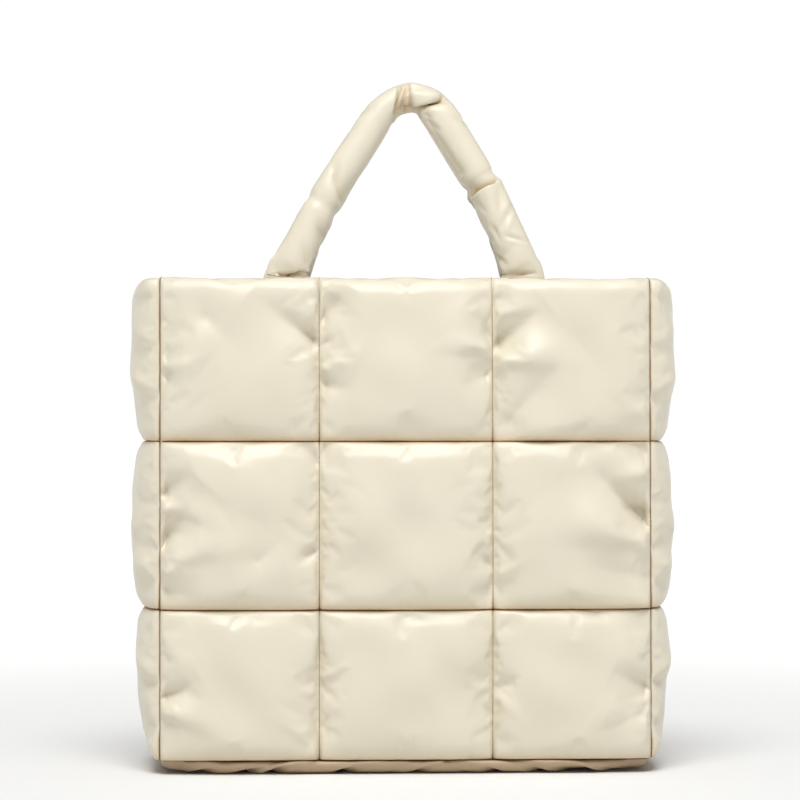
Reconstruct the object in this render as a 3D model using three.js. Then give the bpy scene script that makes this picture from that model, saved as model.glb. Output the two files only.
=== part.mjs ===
// A quilted puffer tote bag in padded faux leather, standing open on its base with both handles up.
// Millimetres, +Z up, front towards -Y. The origin is on the floor under the middle of the bag.
// Every panel is a padded wall: thin along its stitched seams and swollen between them.
import * as THREE from "three";

// Body, measured from seam to seam
const SEAM_WIDTH = 370;
const CENTRE_COLUMN_WIDTH = 131;
const BOTTOM_SEAM_HEIGHT = 11;
const LOWER_SEAM_HEIGHT = 125;
const UPPER_SEAM_HEIGHT = 252;
const RIM_HEIGHT = 375;
const BASE_DEPTH = 110;
const RIM_DEPTH = 92;

// Padding
const SEAM_THICKNESS = 3;
const PANEL_PUFF = 17;
const GUSSET_PUFF = 14;
const LINING_PUFF = 5;
const BASE_LINING_PUFF = 4;
const PANEL_BOW = 7;
const GUSSET_BOW = 9;
const RIM_ROLL = 12;
const SEAM_CLEARANCE = 0.3;

// Handles
const HANDLE_DIAMETER = 27;
const HANDLE_SPACING = 180;
const HANDLE_RISE = 140;
const HANDLE_TOP_CLEARANCE = 6;
const HANDLE_TAB_LENGTH = 30;
const HANDLE_TAB_CLEARANCE = 0.3;
const BACK_HANDLE_SIZE = 1.025;

// Shape of a swollen pad: where its grid lines fall between two seams, and how square its crown is
const PANEL_BREAKS = [0, 0.035, 0.11, 0.23, 0.4, 0.6, 0.77, 0.89, 0.965, 1];
const GUSSET_BREAKS = [0, 0.05, 0.24, 0.5, 0.76, 0.95, 1];
const PAD_SQUARENESS = 2.6;
const BASE_FLATNESS = 1.7;
const RIM_BOW_SHARE = 0.3;
const RIM_ROLL_ANGLES = [35, 62, 84];

// Folds pressed into the pads. column and row name the pad, counted from the left and from the bottom.
// across, up, toAcross and toUp are shares of the pad where a fold starts and ends. depth is a share of
// the pad's puff, and spread, half the width of a fold, a share of the pad's width.
const PANEL_FOLDS = [
  { column: 0, row: 2, across: 1.0, up: 0.58, toAcross: 0.64, toUp: 0.94, depth: 0.42, spread: 0.08 },
  { column: 0, row: 2, across: 0.0, up: 0.46, toAcross: 0.14, toUp: 0.3, depth: 0.2, spread: 0.06 },
  { column: 0, row: 1, across: 0.0, up: 0.36, toAcross: 0.27, toUp: 0.71, depth: 0.42, spread: 0.08 },
  { column: 0, row: 1, across: 1.0, up: 0.36, toAcross: 0.82, toUp: 0.3, depth: 0.2, spread: 0.06 },
  { column: 0, row: 0, across: 0.0, up: 0.4, toAcross: 0.25, toUp: 0.54, depth: 0.25, spread: 0.07 },
  { column: 1, row: 2, across: 0.0, up: 0.74, toAcross: 0.16, toUp: 0.94, depth: 0.3, spread: 0.07 },
  { column: 1, row: 2, across: 0.0, up: 0.48, toAcross: 0.18, toUp: 0.4, depth: 0.2, spread: 0.05 },
  { column: 1, row: 2, across: 1.0, up: 0.62, toAcross: 0.88, toUp: 0.78, depth: 0.2, spread: 0.06 },
  { column: 1, row: 1, across: 1.0, up: 0.26, toAcross: 0.88, toUp: 0.32, depth: 0.2, spread: 0.06 },
  { column: 2, row: 2, across: 0.0, up: 0.58, toAcross: 0.3, toUp: 0.8, depth: 0.42, spread: 0.08 },
  { column: 2, row: 2, across: 0.1, up: 0.12, toAcross: 0.7, toUp: 0.76, depth: 0.2, spread: 0.12 },
  { column: 2, row: 1, across: 1.0, up: 0.53, toAcross: 0.52, toUp: 0.92, depth: 0.48, spread: 0.09 },
  { column: 2, row: 0, across: 1.0, up: 0.44, toAcross: 0.75, toUp: 0.58, depth: 0.25, spread: 0.07 },
];
const GUSSET_FOLDS = [
  { column: 0, row: 2, across: 0.0, up: 0.92, toAcross: 0.4, toUp: 0.84, depth: 0.35, spread: 0.12 },
  { column: 0, row: 1, across: 0.0, up: 0.36, toAcross: 0.45, toUp: 0.5, depth: 0.3, spread: 0.1 },
  { column: 0, row: 1, across: 1.0, up: 0.56, toAcross: 0.6, toUp: 0.4, depth: 0.3, spread: 0.1 },
  { column: 0, row: 0, across: 0.0, up: 0.48, toAcross: 0.4, toUp: 0.36, depth: 0.3, spread: 0.1 },
];

// Each handle from its left tab to its right tab. across is a share of half the spacing, rise a share of
// the rise above the rim, and width and thickness are shares of the diameter. A negative rise lies inside
// the rim and is a share of the tab length. Narrow rows are the kinks where the padding folds.
const HANDLE_SECTIONS = [
  { across: -1.0, rise: -1.0, width: 1.35, thickness: 0.2 },
  { across: -1.0, rise: -0.15, width: 1.4, thickness: 0.2 },
  { across: -0.99, rise: 0.02, width: 1.28, thickness: 0.44 },
  { across: -0.95, rise: 0.09, width: 1.15, thickness: 0.8 },
  { across: -0.856, rise: 0.221, width: 1.0, thickness: 0.96 },
  { across: -0.75, rise: 0.355, width: 0.98, thickness: 1.0 },
  { across: -0.705, rise: 0.405, width: 0.87, thickness: 0.92 },
  { across: -0.655, rise: 0.46, width: 0.98, thickness: 1.0 },
  { across: -0.541, rise: 0.579, width: 0.95, thickness: 1.0 },
  { across: -0.36, rise: 0.757, width: 0.96, thickness: 1.0 },
  { across: -0.229, rise: 0.89, width: 0.9, thickness: 0.97 },
  { across: -0.1, rise: 0.973, width: 0.82, thickness: 0.94 },
  { across: 0.038, rise: 1.006, width: 0.86, thickness: 0.9 },
  { across: 0.14, rise: 1.0, width: 0.84, thickness: 0.94 },
  { across: 0.225, rise: 0.97, width: 0.96, thickness: 0.98 },
  { across: 0.305, rise: 0.91, width: 1.04, thickness: 1.0 },
  { across: 0.41, rise: 0.8, width: 1.03, thickness: 1.0 },
  { across: 0.6, rise: 0.6, width: 1.0, thickness: 0.98 },
  { across: 0.65, rise: 0.55, width: 0.86, thickness: 0.92 },
  { across: 0.69, rise: 0.505, width: 1.06, thickness: 1.0 },
  { across: 0.739, rise: 0.444, width: 1.01, thickness: 1.0 },
  { across: 0.894, rise: 0.221, width: 1.02, thickness: 0.96 },
  { across: 0.968, rise: 0.09, width: 1.12, thickness: 0.8 },
  { across: 1.0, rise: 0.02, width: 1.24, thickness: 0.44 },
  { across: 1.0, rise: -0.15, width: 1.4, thickness: 0.2 },
  { across: 1.0, rise: -1.0, width: 1.35, thickness: 0.2 },
];
const HANDLE_SIDES = 10;
const STEPS_PER_SECTION = 2;

const halfWidth = SEAM_WIDTH / 2;
const seamHalf = SEAM_THICKNESS / 2;
const mitreInset = SEAM_CLEARANCE / Math.SQRT2;
const rimStart = RIM_HEIGHT - RIM_ROLL;
const columnSeams = [-halfWidth, -CENTRE_COLUMN_WIDTH / 2, CENTRE_COLUMN_WIDTH / 2, halfWidth];
const rowSeams = [BOTTOM_SEAM_HEIGHT, LOWER_SEAM_HEIGHT, UPPER_SEAM_HEIGHT];

const fauxLeather = new THREE.MeshStandardMaterial({ color: "#e9e1cd", roughness: 0.5, metalness: 0 });
const handleLeather = new THREE.MeshStandardMaterial({ color: "#ebe3d0", roughness: 0.48, metalness: 0 });

const mix = (from, to, share) => from + (to - from) * share;

/** How full the outside of a pad is at a share of the way between its seams. */
const padSwell = (share) => Math.sqrt(Math.max(0, 1 - Math.abs(2 * share - 1) ** PAD_SQUARENESS));

/** How full the inside of a pad is: a shallow crown that leaves the corners of the bag free. */
const liningSwell = (share) => 4 * share * (1 - share);

/** Half the distance between the front and the back seams at a height. */
const halfDepth = (height) => mix(BASE_DEPTH, RIM_DEPTH, height / RIM_HEIGHT) / 2;

/** How far a stuffed wall bows out at a height, as a share: none at the base and a little at the rim. */
function bowShare(height) {
  const share = (height - BOTTOM_SEAM_HEIGHT) / (RIM_HEIGHT - BOTTOM_SEAM_HEIGHT);
  return 4 * share * (1 - share) + RIM_BOW_SHARE * share ** 2;
}

/** How far the middle of the front or back wall bows out at a place across it. */
const panelBow = (x, height) => PANEL_BOW * (1 - (x / halfWidth) ** 2) * bowShare(height);

/** Grid lines across pads that end in a seam on both sides. */
function closedPadLines(seams, breaks) {
  const lines = [];
  seams.slice(1).forEach((end, pad) => {
    for (const share of breaks.slice(pad ? 1 : 0)) {
      const at = mix(seams[pad], end, share);
      lines.push({ at, pad, share, outside: padSwell(share), inside: liningSwell(share), roll: 1 });
    }
  });
  return lines;
}

/** Grid lines up a wall: pads with a seam above and below, then one that stays full and rolls over the rim. */
function wallLines() {
  const lines = closedPadLines(rowSeams, PANEL_BREAKS);
  const pad = rowSeams.length - 1;
  for (const share of PANEL_BREAKS.slice(1)) {
    const fullness = Math.min(share, 0.5);
    const at = mix(UPPER_SEAM_HEIGHT, rimStart, share);
    lines.push({ at, pad, share, outside: padSwell(fullness), inside: liningSwell(fullness), roll: 1 });
  }
  for (const degrees of RIM_ROLL_ANGLES) {
    const angle = THREE.MathUtils.degToRad(degrees);
    const at = rimStart + RIM_ROLL * Math.sin(angle);
    lines.push({ at, pad, share: 1, outside: 1, inside: 1, roll: Math.cos(angle) });
  }
  return lines;
}

/** How deep the folds of a table are at a place on a pad, as a share of its puff. */
function foldDepth(folds, across, up) {
  return folds
    .filter((fold) => fold.column === across.pad && fold.row === up.pad)
    .reduce((depth, fold) => {
      const alongX = fold.toAcross - fold.across;
      const alongZ = fold.toUp - fold.up;
      const fromX = across.share - fold.across;
      const fromZ = up.share - fold.up;
      const along = (fromX * alongX + fromZ * alongZ) / (alongX ** 2 + alongZ ** 2);
      const nearest = Math.min(1, Math.max(0, along));
      const away = Math.hypot(fromX - nearest * alongX, fromZ - nearest * alongZ) / fold.spread;
      return depth + fold.depth * (1 - 0.6 * nearest) * Math.exp(-(away ** 2));
    }, 0);
}

/** The place of a grid line once each end is cut to a mitre, so that panels meet face to face. */
function mitred(line, low, high, reach, openEnd) {
  const start = low - reach;
  const end = openEnd ? high : high + reach;
  return mix(start, end, (line.at - low) / (high - low));
}

/** How far past the seam's middle a skin reaches. */
const mitreReach = (outward, roll) => outward * seamHalf * roll - mitreInset;

/** A closed solid from points and triangles, turned so that its faces point out. */
function closedSolid(points, triangles) {
  const volume = triangles.reduce(
    (sum, [a, b, c]) => sum + points[a].dot(new THREE.Vector3().crossVectors(points[b], points[c])),
    0,
  );
  const index = triangles.flatMap(([a, b, c]) => (volume < 0 ? [a, c, b] : [a, b, c]));
  const geometry = new THREE.BufferGeometry().setFromPoints(points);
  geometry.setIndex(index);
  geometry.computeVertexNormals();
  return geometry;
}

/** A padded panel: an outer and an inner skin over the same grid, closed round its edge. */
function paddedPanel(acrossLines, upLines, place) {
  const columns = acrossLines.length;
  const rows = upLines.length;
  const points = [];
  for (const outward of [1, -1]) {
    for (const up of upLines) {
      for (const across of acrossLines) points.push(place(across, up, outward));
    }
  }
  const at = (skin, row, column) => (skin * rows + row) * columns + column;
  const triangles = [];
  const quad = (a, b, c, d) => triangles.push([a, b, c], [a, c, d]);
  for (let row = 0; row < rows - 1; row++) {
    for (let column = 0; column < columns - 1; column++) {
      quad(at(0, row, column), at(0, row, column + 1), at(0, row + 1, column + 1), at(0, row + 1, column));
      quad(at(1, row, column), at(1, row + 1, column), at(1, row + 1, column + 1), at(1, row, column + 1));
    }
  }
  const top = rows - 1;
  for (let column = 0; column < columns - 1; column++) {
    quad(at(1, 0, column), at(1, 0, column + 1), at(0, 0, column + 1), at(0, 0, column));
    quad(at(0, top, column), at(0, top, column + 1), at(1, top, column + 1), at(1, top, column));
  }
  const end = columns - 1;
  for (let row = 0; row < rows - 1; row++) {
    quad(at(0, row, 0), at(0, row + 1, 0), at(1, row + 1, 0), at(1, row, 0));
    quad(at(1, row, end), at(1, row + 1, end), at(0, row + 1, end), at(0, row, end));
  }
  return closedSolid(points, triangles);
}

/** How far a skin lies from the middle of its wall, outwards positive. */
function skinOffset(across, up, outward, puff, folds) {
  const swollen = puff * across.outside * up.outside * (1 - foldDepth(folds, across, up));
  const lined = LINING_PUFF * across.inside * up.inside;
  return up.roll * (outward > 0 ? seamHalf + swollen : -seamHalf - lined);
}

/** The front panel for side -1, the back panel for side 1. */
function quiltedPanel(side) {
  const acrossLines = closedPadLines(columnSeams, PANEL_BREAKS);
  return paddedPanel(acrossLines, wallLines(), (across, up, outward) => {
    const x = mitred(across, -halfWidth, halfWidth, mitreReach(outward, up.roll), false);
    const z = mitred(up, BOTTOM_SEAM_HEIGHT, RIM_HEIGHT, mitreReach(outward, 1), true);
    const middle = halfDepth(up.at) + panelBow(across.at, up.at);
    return new THREE.Vector3(x, side * (middle + skinOffset(across, up, outward, PANEL_PUFF, PANEL_FOLDS)), z);
  });
}

/** The left gusset for side -1, the right gusset for side 1. Its width follows the taper of the bag. */
function gusset(side) {
  const acrossLines = closedPadLines([-1, 1], GUSSET_BREAKS);
  return paddedPanel(acrossLines, wallLines(), (across, up, outward) => {
    const depth = halfDepth(up.at);
    const y = mitred({ at: across.at * depth }, -depth, depth, mitreReach(outward, up.roll), false);
    const z = mitred(up, BOTTOM_SEAM_HEIGHT, RIM_HEIGHT, mitreReach(outward, 1), true);
    const bow = GUSSET_BOW * (1 - across.at ** 2) * bowShare(up.at);
    return new THREE.Vector3(
      side * (halfWidth + bow + skinOffset(across, up, outward, GUSSET_PUFF, GUSSET_FOLDS)),
      y,
      z,
    );
  });
}

/** The base, swollen down until it rests flat on the floor. */
function base() {
  const depth = halfDepth(BOTTOM_SEAM_HEIGHT);
  const acrossLines = closedPadLines([-halfWidth, halfWidth], PANEL_BREAKS);
  return paddedPanel(acrossLines, closedPadLines([-depth, depth], GUSSET_BREAKS), (across, up, outward) => {
    const x = mitred(across, -halfWidth, halfWidth, mitreReach(outward, 1), false);
    const y = mitred(up, -depth, depth, mitreReach(outward, 1), false);
    const sag = Math.min(1, BASE_FLATNESS * across.outside * up.outside);
    const underside = (BOTTOM_SEAM_HEIGHT - seamHalf) * (1 - sag);
    const topside = BOTTOM_SEAM_HEIGHT + seamHalf + BASE_LINING_PUFF * across.inside * up.inside;
    return new THREE.Vector3(x, y, outward > 0 ? underside : topside);
  });
}

/** A closed solid through sections with the same number of corners, with both ends capped. */
function lofted(sections) {
  const sides = sections[0].length;
  const triangles = [];
  for (let step = 0; step < sections.length - 1; step++) {
    const here = step * sides;
    const ahead = here + sides;
    for (let corner = 0; corner < sides; corner++) {
      const next = (corner + 1) % sides;
      triangles.push([here + corner, here + next, ahead + next], [here + corner, ahead + next, ahead + corner]);
    }
  }
  const last = (sections.length - 1) * sides;
  for (let corner = 1; corner < sides - 1; corner++) {
    triangles.push([0, corner + 1, corner], [last, last + corner, last + corner + 1]);
  }
  return closedSolid(sections.flat(), triangles);
}

/** How far the inside of the front or back wall lies from the middle of the bag, where the rim roll starts. */
function wallInside(x) {
  const column = columnSeams.findIndex((seam) => x < seam) - 1;
  const share = (x - columnSeams[column]) / (columnSeams[column + 1] - columnSeams[column]);
  return halfDepth(rimStart) + panelBow(x, rimStart) - seamHalf - LINING_PUFF * liningSwell(share);
}

/** A smooth curve through one column of the handle table, read at a share of the way along the handle. */
function sectionCurve(name) {
  const curve = new THREE.CatmullRomCurve3(
    HANDLE_SECTIONS.map((section) => new THREE.Vector3(section[name], 0, 0)),
    false,
    "catmullrom",
    0.5,
  );
  return (share) => curve.getPoint(share).x;
}

/** One padded handle, sewn to the inside of the rim and leaning in. side is -1 in front and 1 behind. */
function handle(side, size) {
  const acrossAt = sectionCurve("across");
  const riseAt = sectionCurve("rise");
  const widthAt = sectionCurve("width");
  const thicknessAt = sectionCurve("thickness");
  const halfSpacing = (HANDLE_SPACING / 2) * size;
  const outline = (along) => {
    const corners = [];
    for (let corner = 0; corner < HANDLE_SIDES; corner++) {
      const angle = (2 * Math.PI * (corner + 0.5)) / HANDLE_SIDES;
      corners.push({
        wide: (HANDLE_DIAMETER / 2) * widthAt(along) * Math.cos(angle),
        thick: (HANDLE_DIAMETER / 2) * thicknessAt(along) * Math.sin(angle),
      });
    }
    return corners;
  };
  const tab = [...outline(0), ...outline(1 / (HANDLE_SECTIONS.length - 1))];
  const roomBehind = tab.map(({ wide, thick }) => wallInside(halfSpacing + wide) - thick);
  const tabDepth = Math.min(...roomBehind) - HANDLE_TAB_CLEARANCE;
  const topDepth = (HANDLE_DIAMETER + HANDLE_TOP_CLEARANCE) / 2;
  const centre = (share) => {
    const rise = riseAt(share);
    return new THREE.Vector3(
      acrossAt(share) * halfSpacing,
      side * mix(tabDepth, topDepth, Math.max(0, rise)),
      RIM_HEIGHT + rise * (rise < 0 ? HANDLE_TAB_LENGTH : HANDLE_RISE * size),
    );
  };
  const steps = (HANDLE_SECTIONS.length - 1) * STEPS_PER_SECTION;
  const sections = [];
  for (let step = 0; step <= steps; step++) {
    const share = step / steps;
    const before = centre(Math.max(0, share - 0.5 / steps));
    const along = centre(Math.min(1, share + 0.5 / steps)).sub(before).normalize();
    const wide = new THREE.Vector3().crossVectors(along, new THREE.Vector3(0, 1, 0)).normalize();
    const thick = new THREE.Vector3().crossVectors(wide, along).normalize();
    const place = (corner) => {
      const point = centre(share).addScaledVector(wide, corner.wide);
      return point.addScaledVector(thick, corner.thick);
    };
    sections.push(outline(share).map(place));
  }
  return lofted(sections);
}

/** Adds a named piece to the bag. */
function addPiece(group, name, geometry, material) {
  const mesh = new THREE.Mesh(geometry, material);
  mesh.name = name;
  group.add(mesh);
}

const bag = new THREE.Group();
addPiece(bag, "front_panel", quiltedPanel(-1), fauxLeather);
addPiece(bag, "back_panel", quiltedPanel(1), fauxLeather);
addPiece(bag, "left_gusset", gusset(-1), fauxLeather);
addPiece(bag, "right_gusset", gusset(1), fauxLeather);
addPiece(bag, "base_panel", base(), fauxLeather);
addPiece(bag, "front_handle", handle(-1, 1), handleLeather);
addPiece(bag, "back_handle", handle(1, BACK_HANDLE_SIZE), handleLeather);

export default bag;
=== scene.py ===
"""A quilted puffer tote bag: stuffed faux leather pads, folded tube handles and their stitching."""

import logging
import math
from dataclasses import dataclass, field, replace
from enum import Enum

import bpy
import numpy as np
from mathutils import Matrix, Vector


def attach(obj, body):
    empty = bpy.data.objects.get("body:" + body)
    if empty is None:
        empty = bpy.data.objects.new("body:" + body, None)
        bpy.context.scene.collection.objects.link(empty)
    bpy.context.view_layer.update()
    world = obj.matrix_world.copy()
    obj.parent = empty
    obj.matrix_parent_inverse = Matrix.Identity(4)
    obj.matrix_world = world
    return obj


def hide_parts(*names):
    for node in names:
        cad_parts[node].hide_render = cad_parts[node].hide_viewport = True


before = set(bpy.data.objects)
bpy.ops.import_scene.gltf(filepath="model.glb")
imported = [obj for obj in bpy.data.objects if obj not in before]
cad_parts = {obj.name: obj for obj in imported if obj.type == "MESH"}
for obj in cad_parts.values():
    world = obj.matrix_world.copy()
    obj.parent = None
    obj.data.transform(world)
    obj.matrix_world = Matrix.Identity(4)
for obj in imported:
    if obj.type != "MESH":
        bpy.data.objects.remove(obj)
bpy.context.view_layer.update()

LOG = logging.getLogger("puffer_tote")
Array = np.ndarray
NO_SEAM_MM = 100.0
NO_LIMIT = 10.0


class Facing(Enum):
    """Which way a pair of like pieces looks: towards the front or left, or towards the back or right."""

    FRONT = -1
    BACK = 1
    LEFT = -1
    RIGHT = 1


def linear(hex_colour: str) -> tuple[float, float, float, float]:
    """Turns an sRGB colour such as #E8E1CE into the linear values that a shader takes.

    Args:
        hex_colour: The colour as six hex digits after a hash.

    Returns:
        Red, green and blue as linear light, and an alpha of 1.
    """
    parts = [int(hex_colour[i : i + 2], 16) / 255 for i in (1, 3, 5)]
    red, green, blue = (p / 12.92 if p <= 0.04045 else ((p + 0.055) / 1.055) ** 2.4 for p in parts)
    return red, green, blue, 1.0


def mix(start: float | Array, end: float | Array, share: Array) -> Array:
    """The value a share of the way from start to end."""
    return start + (end - start) * share


def ramp(values: Array, start: float, length: float) -> Array:
    """Rises from 0 at start to 1 a length further on, and is level on both sides."""
    return np.clip((values - start) / length, 0, 1)


def linked(name: str, data: bpy.types.ID) -> bpy.types.Object:
    """Makes an object and links it to the scene.

    Args:
        name: The object's name.
        data: Its mesh, camera or light.

    Returns:
        The object, at the origin.
    """
    made = bpy.data.objects.new(name, data)
    bpy.context.scene.collection.objects.link(made)
    return made


def cleared_tree(owner: bpy.types.Material | bpy.types.World) -> bpy.types.NodeTree:
    """Gives a new material or world an empty node tree.

    Args:
        owner: The material or world.

    Returns:
        Its tree.
    """
    owner.use_nodes = True
    owner.node_tree.nodes.clear()
    return owner.node_tree


def wander(along: Array, step: float, seed: int) -> Array:
    """A smooth random line between -1 and 1.

    Args:
        along: Places along the line, in metres.
        step: How far apart its random values stand, in metres.
        seed: The seed of its random values.

    Returns:
        The line's value at each place.
    """
    reach = np.asarray(along) / step
    low = np.floor(reach).astype(int)
    values = np.random.default_rng(seed).uniform(-1, 1, int(low.max() - low.min()) + 3)
    part = reach - low
    part = part * part * (3 - 2 * part)
    low = low - low.min()
    return mix(values[low], values[low + 1], part)


@dataclass(frozen=True)
class BagSizes:
    """The bag's driving sizes from seam to seam, in metres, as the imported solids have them."""

    seam_width: float = 0.370
    centre_column: float = 0.131
    bottom_seam: float = 0.011
    lower_seam: float = 0.125
    upper_seam: float = 0.252
    rim: float = 0.375
    base_depth: float = 0.110
    rim_depth: float = 0.092
    rim_roll: float = 0.012
    rim_fullness: float = 0.0014
    rim_bow_share: float = 0.3
    seam_half: float = 0.0015
    seam_gap: float = 0.0003
    panel_bow: float = 0.007
    gusset_bow: float = 0.009
    lining_puff: float = 0.005

    @property
    def half_width(self) -> float:
        """Half the width from corner seam to corner seam."""
        return self.seam_width / 2

    @property
    def column_seams(self) -> tuple[float, ...]:
        """The upright seams of a wide panel, from left to right."""
        inner = self.centre_column / 2
        return -self.half_width, -inner, inner, self.half_width

    @property
    def row_seams(self) -> tuple[float, ...]:
        """The level seams of a wall, from the bottom up."""
        return self.bottom_seam, self.lower_seam, self.upper_seam

    @property
    def rim_start(self) -> float:
        """The height where a wall starts to roll over into the rim."""
        return self.rim - self.rim_roll

    def half_depth(self, height: Array) -> Array:
        """Half the distance between the front and back seams at each height."""
        return mix(self.base_depth, self.rim_depth, height / self.rim) / 2

    @property
    def mitre_inset(self) -> float:
        """How far a piece stays back from a mitred seam, so that the gap is left."""
        return self.seam_gap / math.sqrt(2)

    def bowed(self, most: float, across: Array, height: Array) -> Array:
        """How far a stuffed wall bows out, for shares across it from -1 to 1 and heights."""
        share = (height - self.bottom_seam) / (self.rim - self.bottom_seam)
        return most * (1 - across**2) * (4 * share * (1 - share) + self.rim_bow_share * share**2)


@dataclass
class Lines:
    """The grid lines of a quilted skin in one direction.

    run is how far along the skin each line lies, at is where that is in space, and share is how far
    through its pad. turn is the angle that a rolled rim has reached, and seams and ends are the places
    of the seams and the borders of the pads, in the order of run.
    """

    run: Array
    at: Array
    share: Array
    turn: Array
    seams: tuple[float, ...]
    ends: tuple[float, ...]

    @classmethod
    def between(cls, seams: tuple[float, ...], spacing: float, draw: float = 0.0) -> "Lines":
        """Lines over pads that end in a seam on both sides.

        Args:
            seams: Where the seams lie, in metres.
            spacing: About how far apart the lines are, in metres.
            draw: How strongly the skin beside a seam is drawn in towards it, from 0 to 1.

        Returns:
            The lines, with one on each seam.
        """
        run = [seams[0]]
        for low, high in zip(seams, seams[1:]):
            count = max(2, round((high - low) / spacing))
            run += [low + (high - low) * step / count for step in range(1, count + 1)]
        lines = cls(np.array(run), np.array(run), np.zeros(len(run)), np.zeros(len(run)), seams, seams)
        return lines.finished(draw)

    @classmethod
    def up_wall(cls, sizes: BagSizes, spacing: float, draw: float = 0.0) -> "Lines":
        """Lines up a wall and over its rolled rim to the inside.

        Args:
            sizes: The bag's sizes.
            spacing: About how far apart the lines are, in metres.
            draw: How strongly the skin beside a seam is drawn in towards it, from 0 to 1.

        Returns:
            The lines, whose turn goes from 0 to pi over the rim.
        """
        ends = (*sizes.row_seams, sizes.rim_start)
        lines = cls.between(ends, spacing)
        steps = round(math.pi * sizes.rim_roll * 1.2 / spacing)
        turn = np.linspace(0, math.pi, steps + 1)[1:]
        lines.run = np.append(lines.run, sizes.rim_start + sizes.rim_roll * turn)
        lines.at = np.append(lines.at, sizes.rim_start + (sizes.rim_roll + sizes.rim_fullness) * np.sin(turn))
        lines.turn = np.append(lines.turn, turn)
        lines.seams, lines.ends = sizes.row_seams, ends
        return lines.finished(draw, reach=0.0125)

    def finished(self, draw: float, reach: float = 0.0095) -> "Lines":
        """Works out the shares, and draws the skin in towards the seams.

        Args:
            draw: How strongly the skin is drawn in, from 0 to 1.
            reach: How far from a seam it is, in metres.

        Returns:
            The same lines, finished.
        """
        number = self.pads()
        low, high = np.array(self.ends)[number], np.array(self.ends)[number + 1]
        self.share = np.minimum(1, (self.run - low) / (high - low))
        for seam in self.seams:
            near = self.run - seam
            self.at = self.at - draw * near * np.exp(-((near / reach) ** 2))
        return self

    def pads(self) -> Array:
        """The number of the pad that each line lies in, where a seam belongs to the pad before it."""
        return np.clip(np.searchsorted(np.array(self.ends) + 1e-9, self.run) - 1, 0, len(self.ends) - 2)

    def last(self) -> Array:
        """True for each line in the last pad."""
        return self.pads() == len(self.ends) - 2

    def beside(self, marks: tuple[float, ...]) -> Array:
        """How far each line lies from the nearest of some marks, in metres."""
        return np.abs(self.run[:, None] - np.array(marks)).min(axis=1)

    def marks(self) -> list[int]:
        """The numbers of the lines that lie on seams."""
        return [int(np.abs(self.run - seam).argmin()) for seam in self.seams]

    def halved(self) -> "Lines":
        """Puts one more line between each two.

        Returns:
            The new lines.
        """
        old = np.arange(len(self.run))
        new = np.arange(2 * len(self.run) - 1) / 2
        run, at, turn = (np.interp(new, old, values) for values in (self.run, self.at, self.turn))
        return Lines(run, at, run, turn, self.seams, self.ends).finished(0.0)


@dataclass(frozen=True)
class Fold:
    """A fold pressed into one pad, from a seam into the pad.

    across, up, to_across and to_up are shares of the pad. depth and width are in metres, and ridge is
    the height of the roll that stands beside the fold, as a share of its depth: above or to the left
    of the fold's direction where it is positive, and on the other side where it is negative.
    """

    column: int
    row: int
    across: float
    up: float
    to_across: float
    to_up: float
    depth: float
    width: float
    ridge: float = 0.0

    def mirrored(self, columns: int) -> "Fold":
        """Mirrors the fold.

        Args:
            columns: How many columns of pads the panel has.

        Returns:
            The same fold on the other side of the panel.
        """
        across, to_across = 1 - self.across, 1 - self.to_across
        column = columns - 1 - self.column
        return replace(self, column=column, across=across, to_across=to_across, ridge=-self.ridge)


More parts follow.
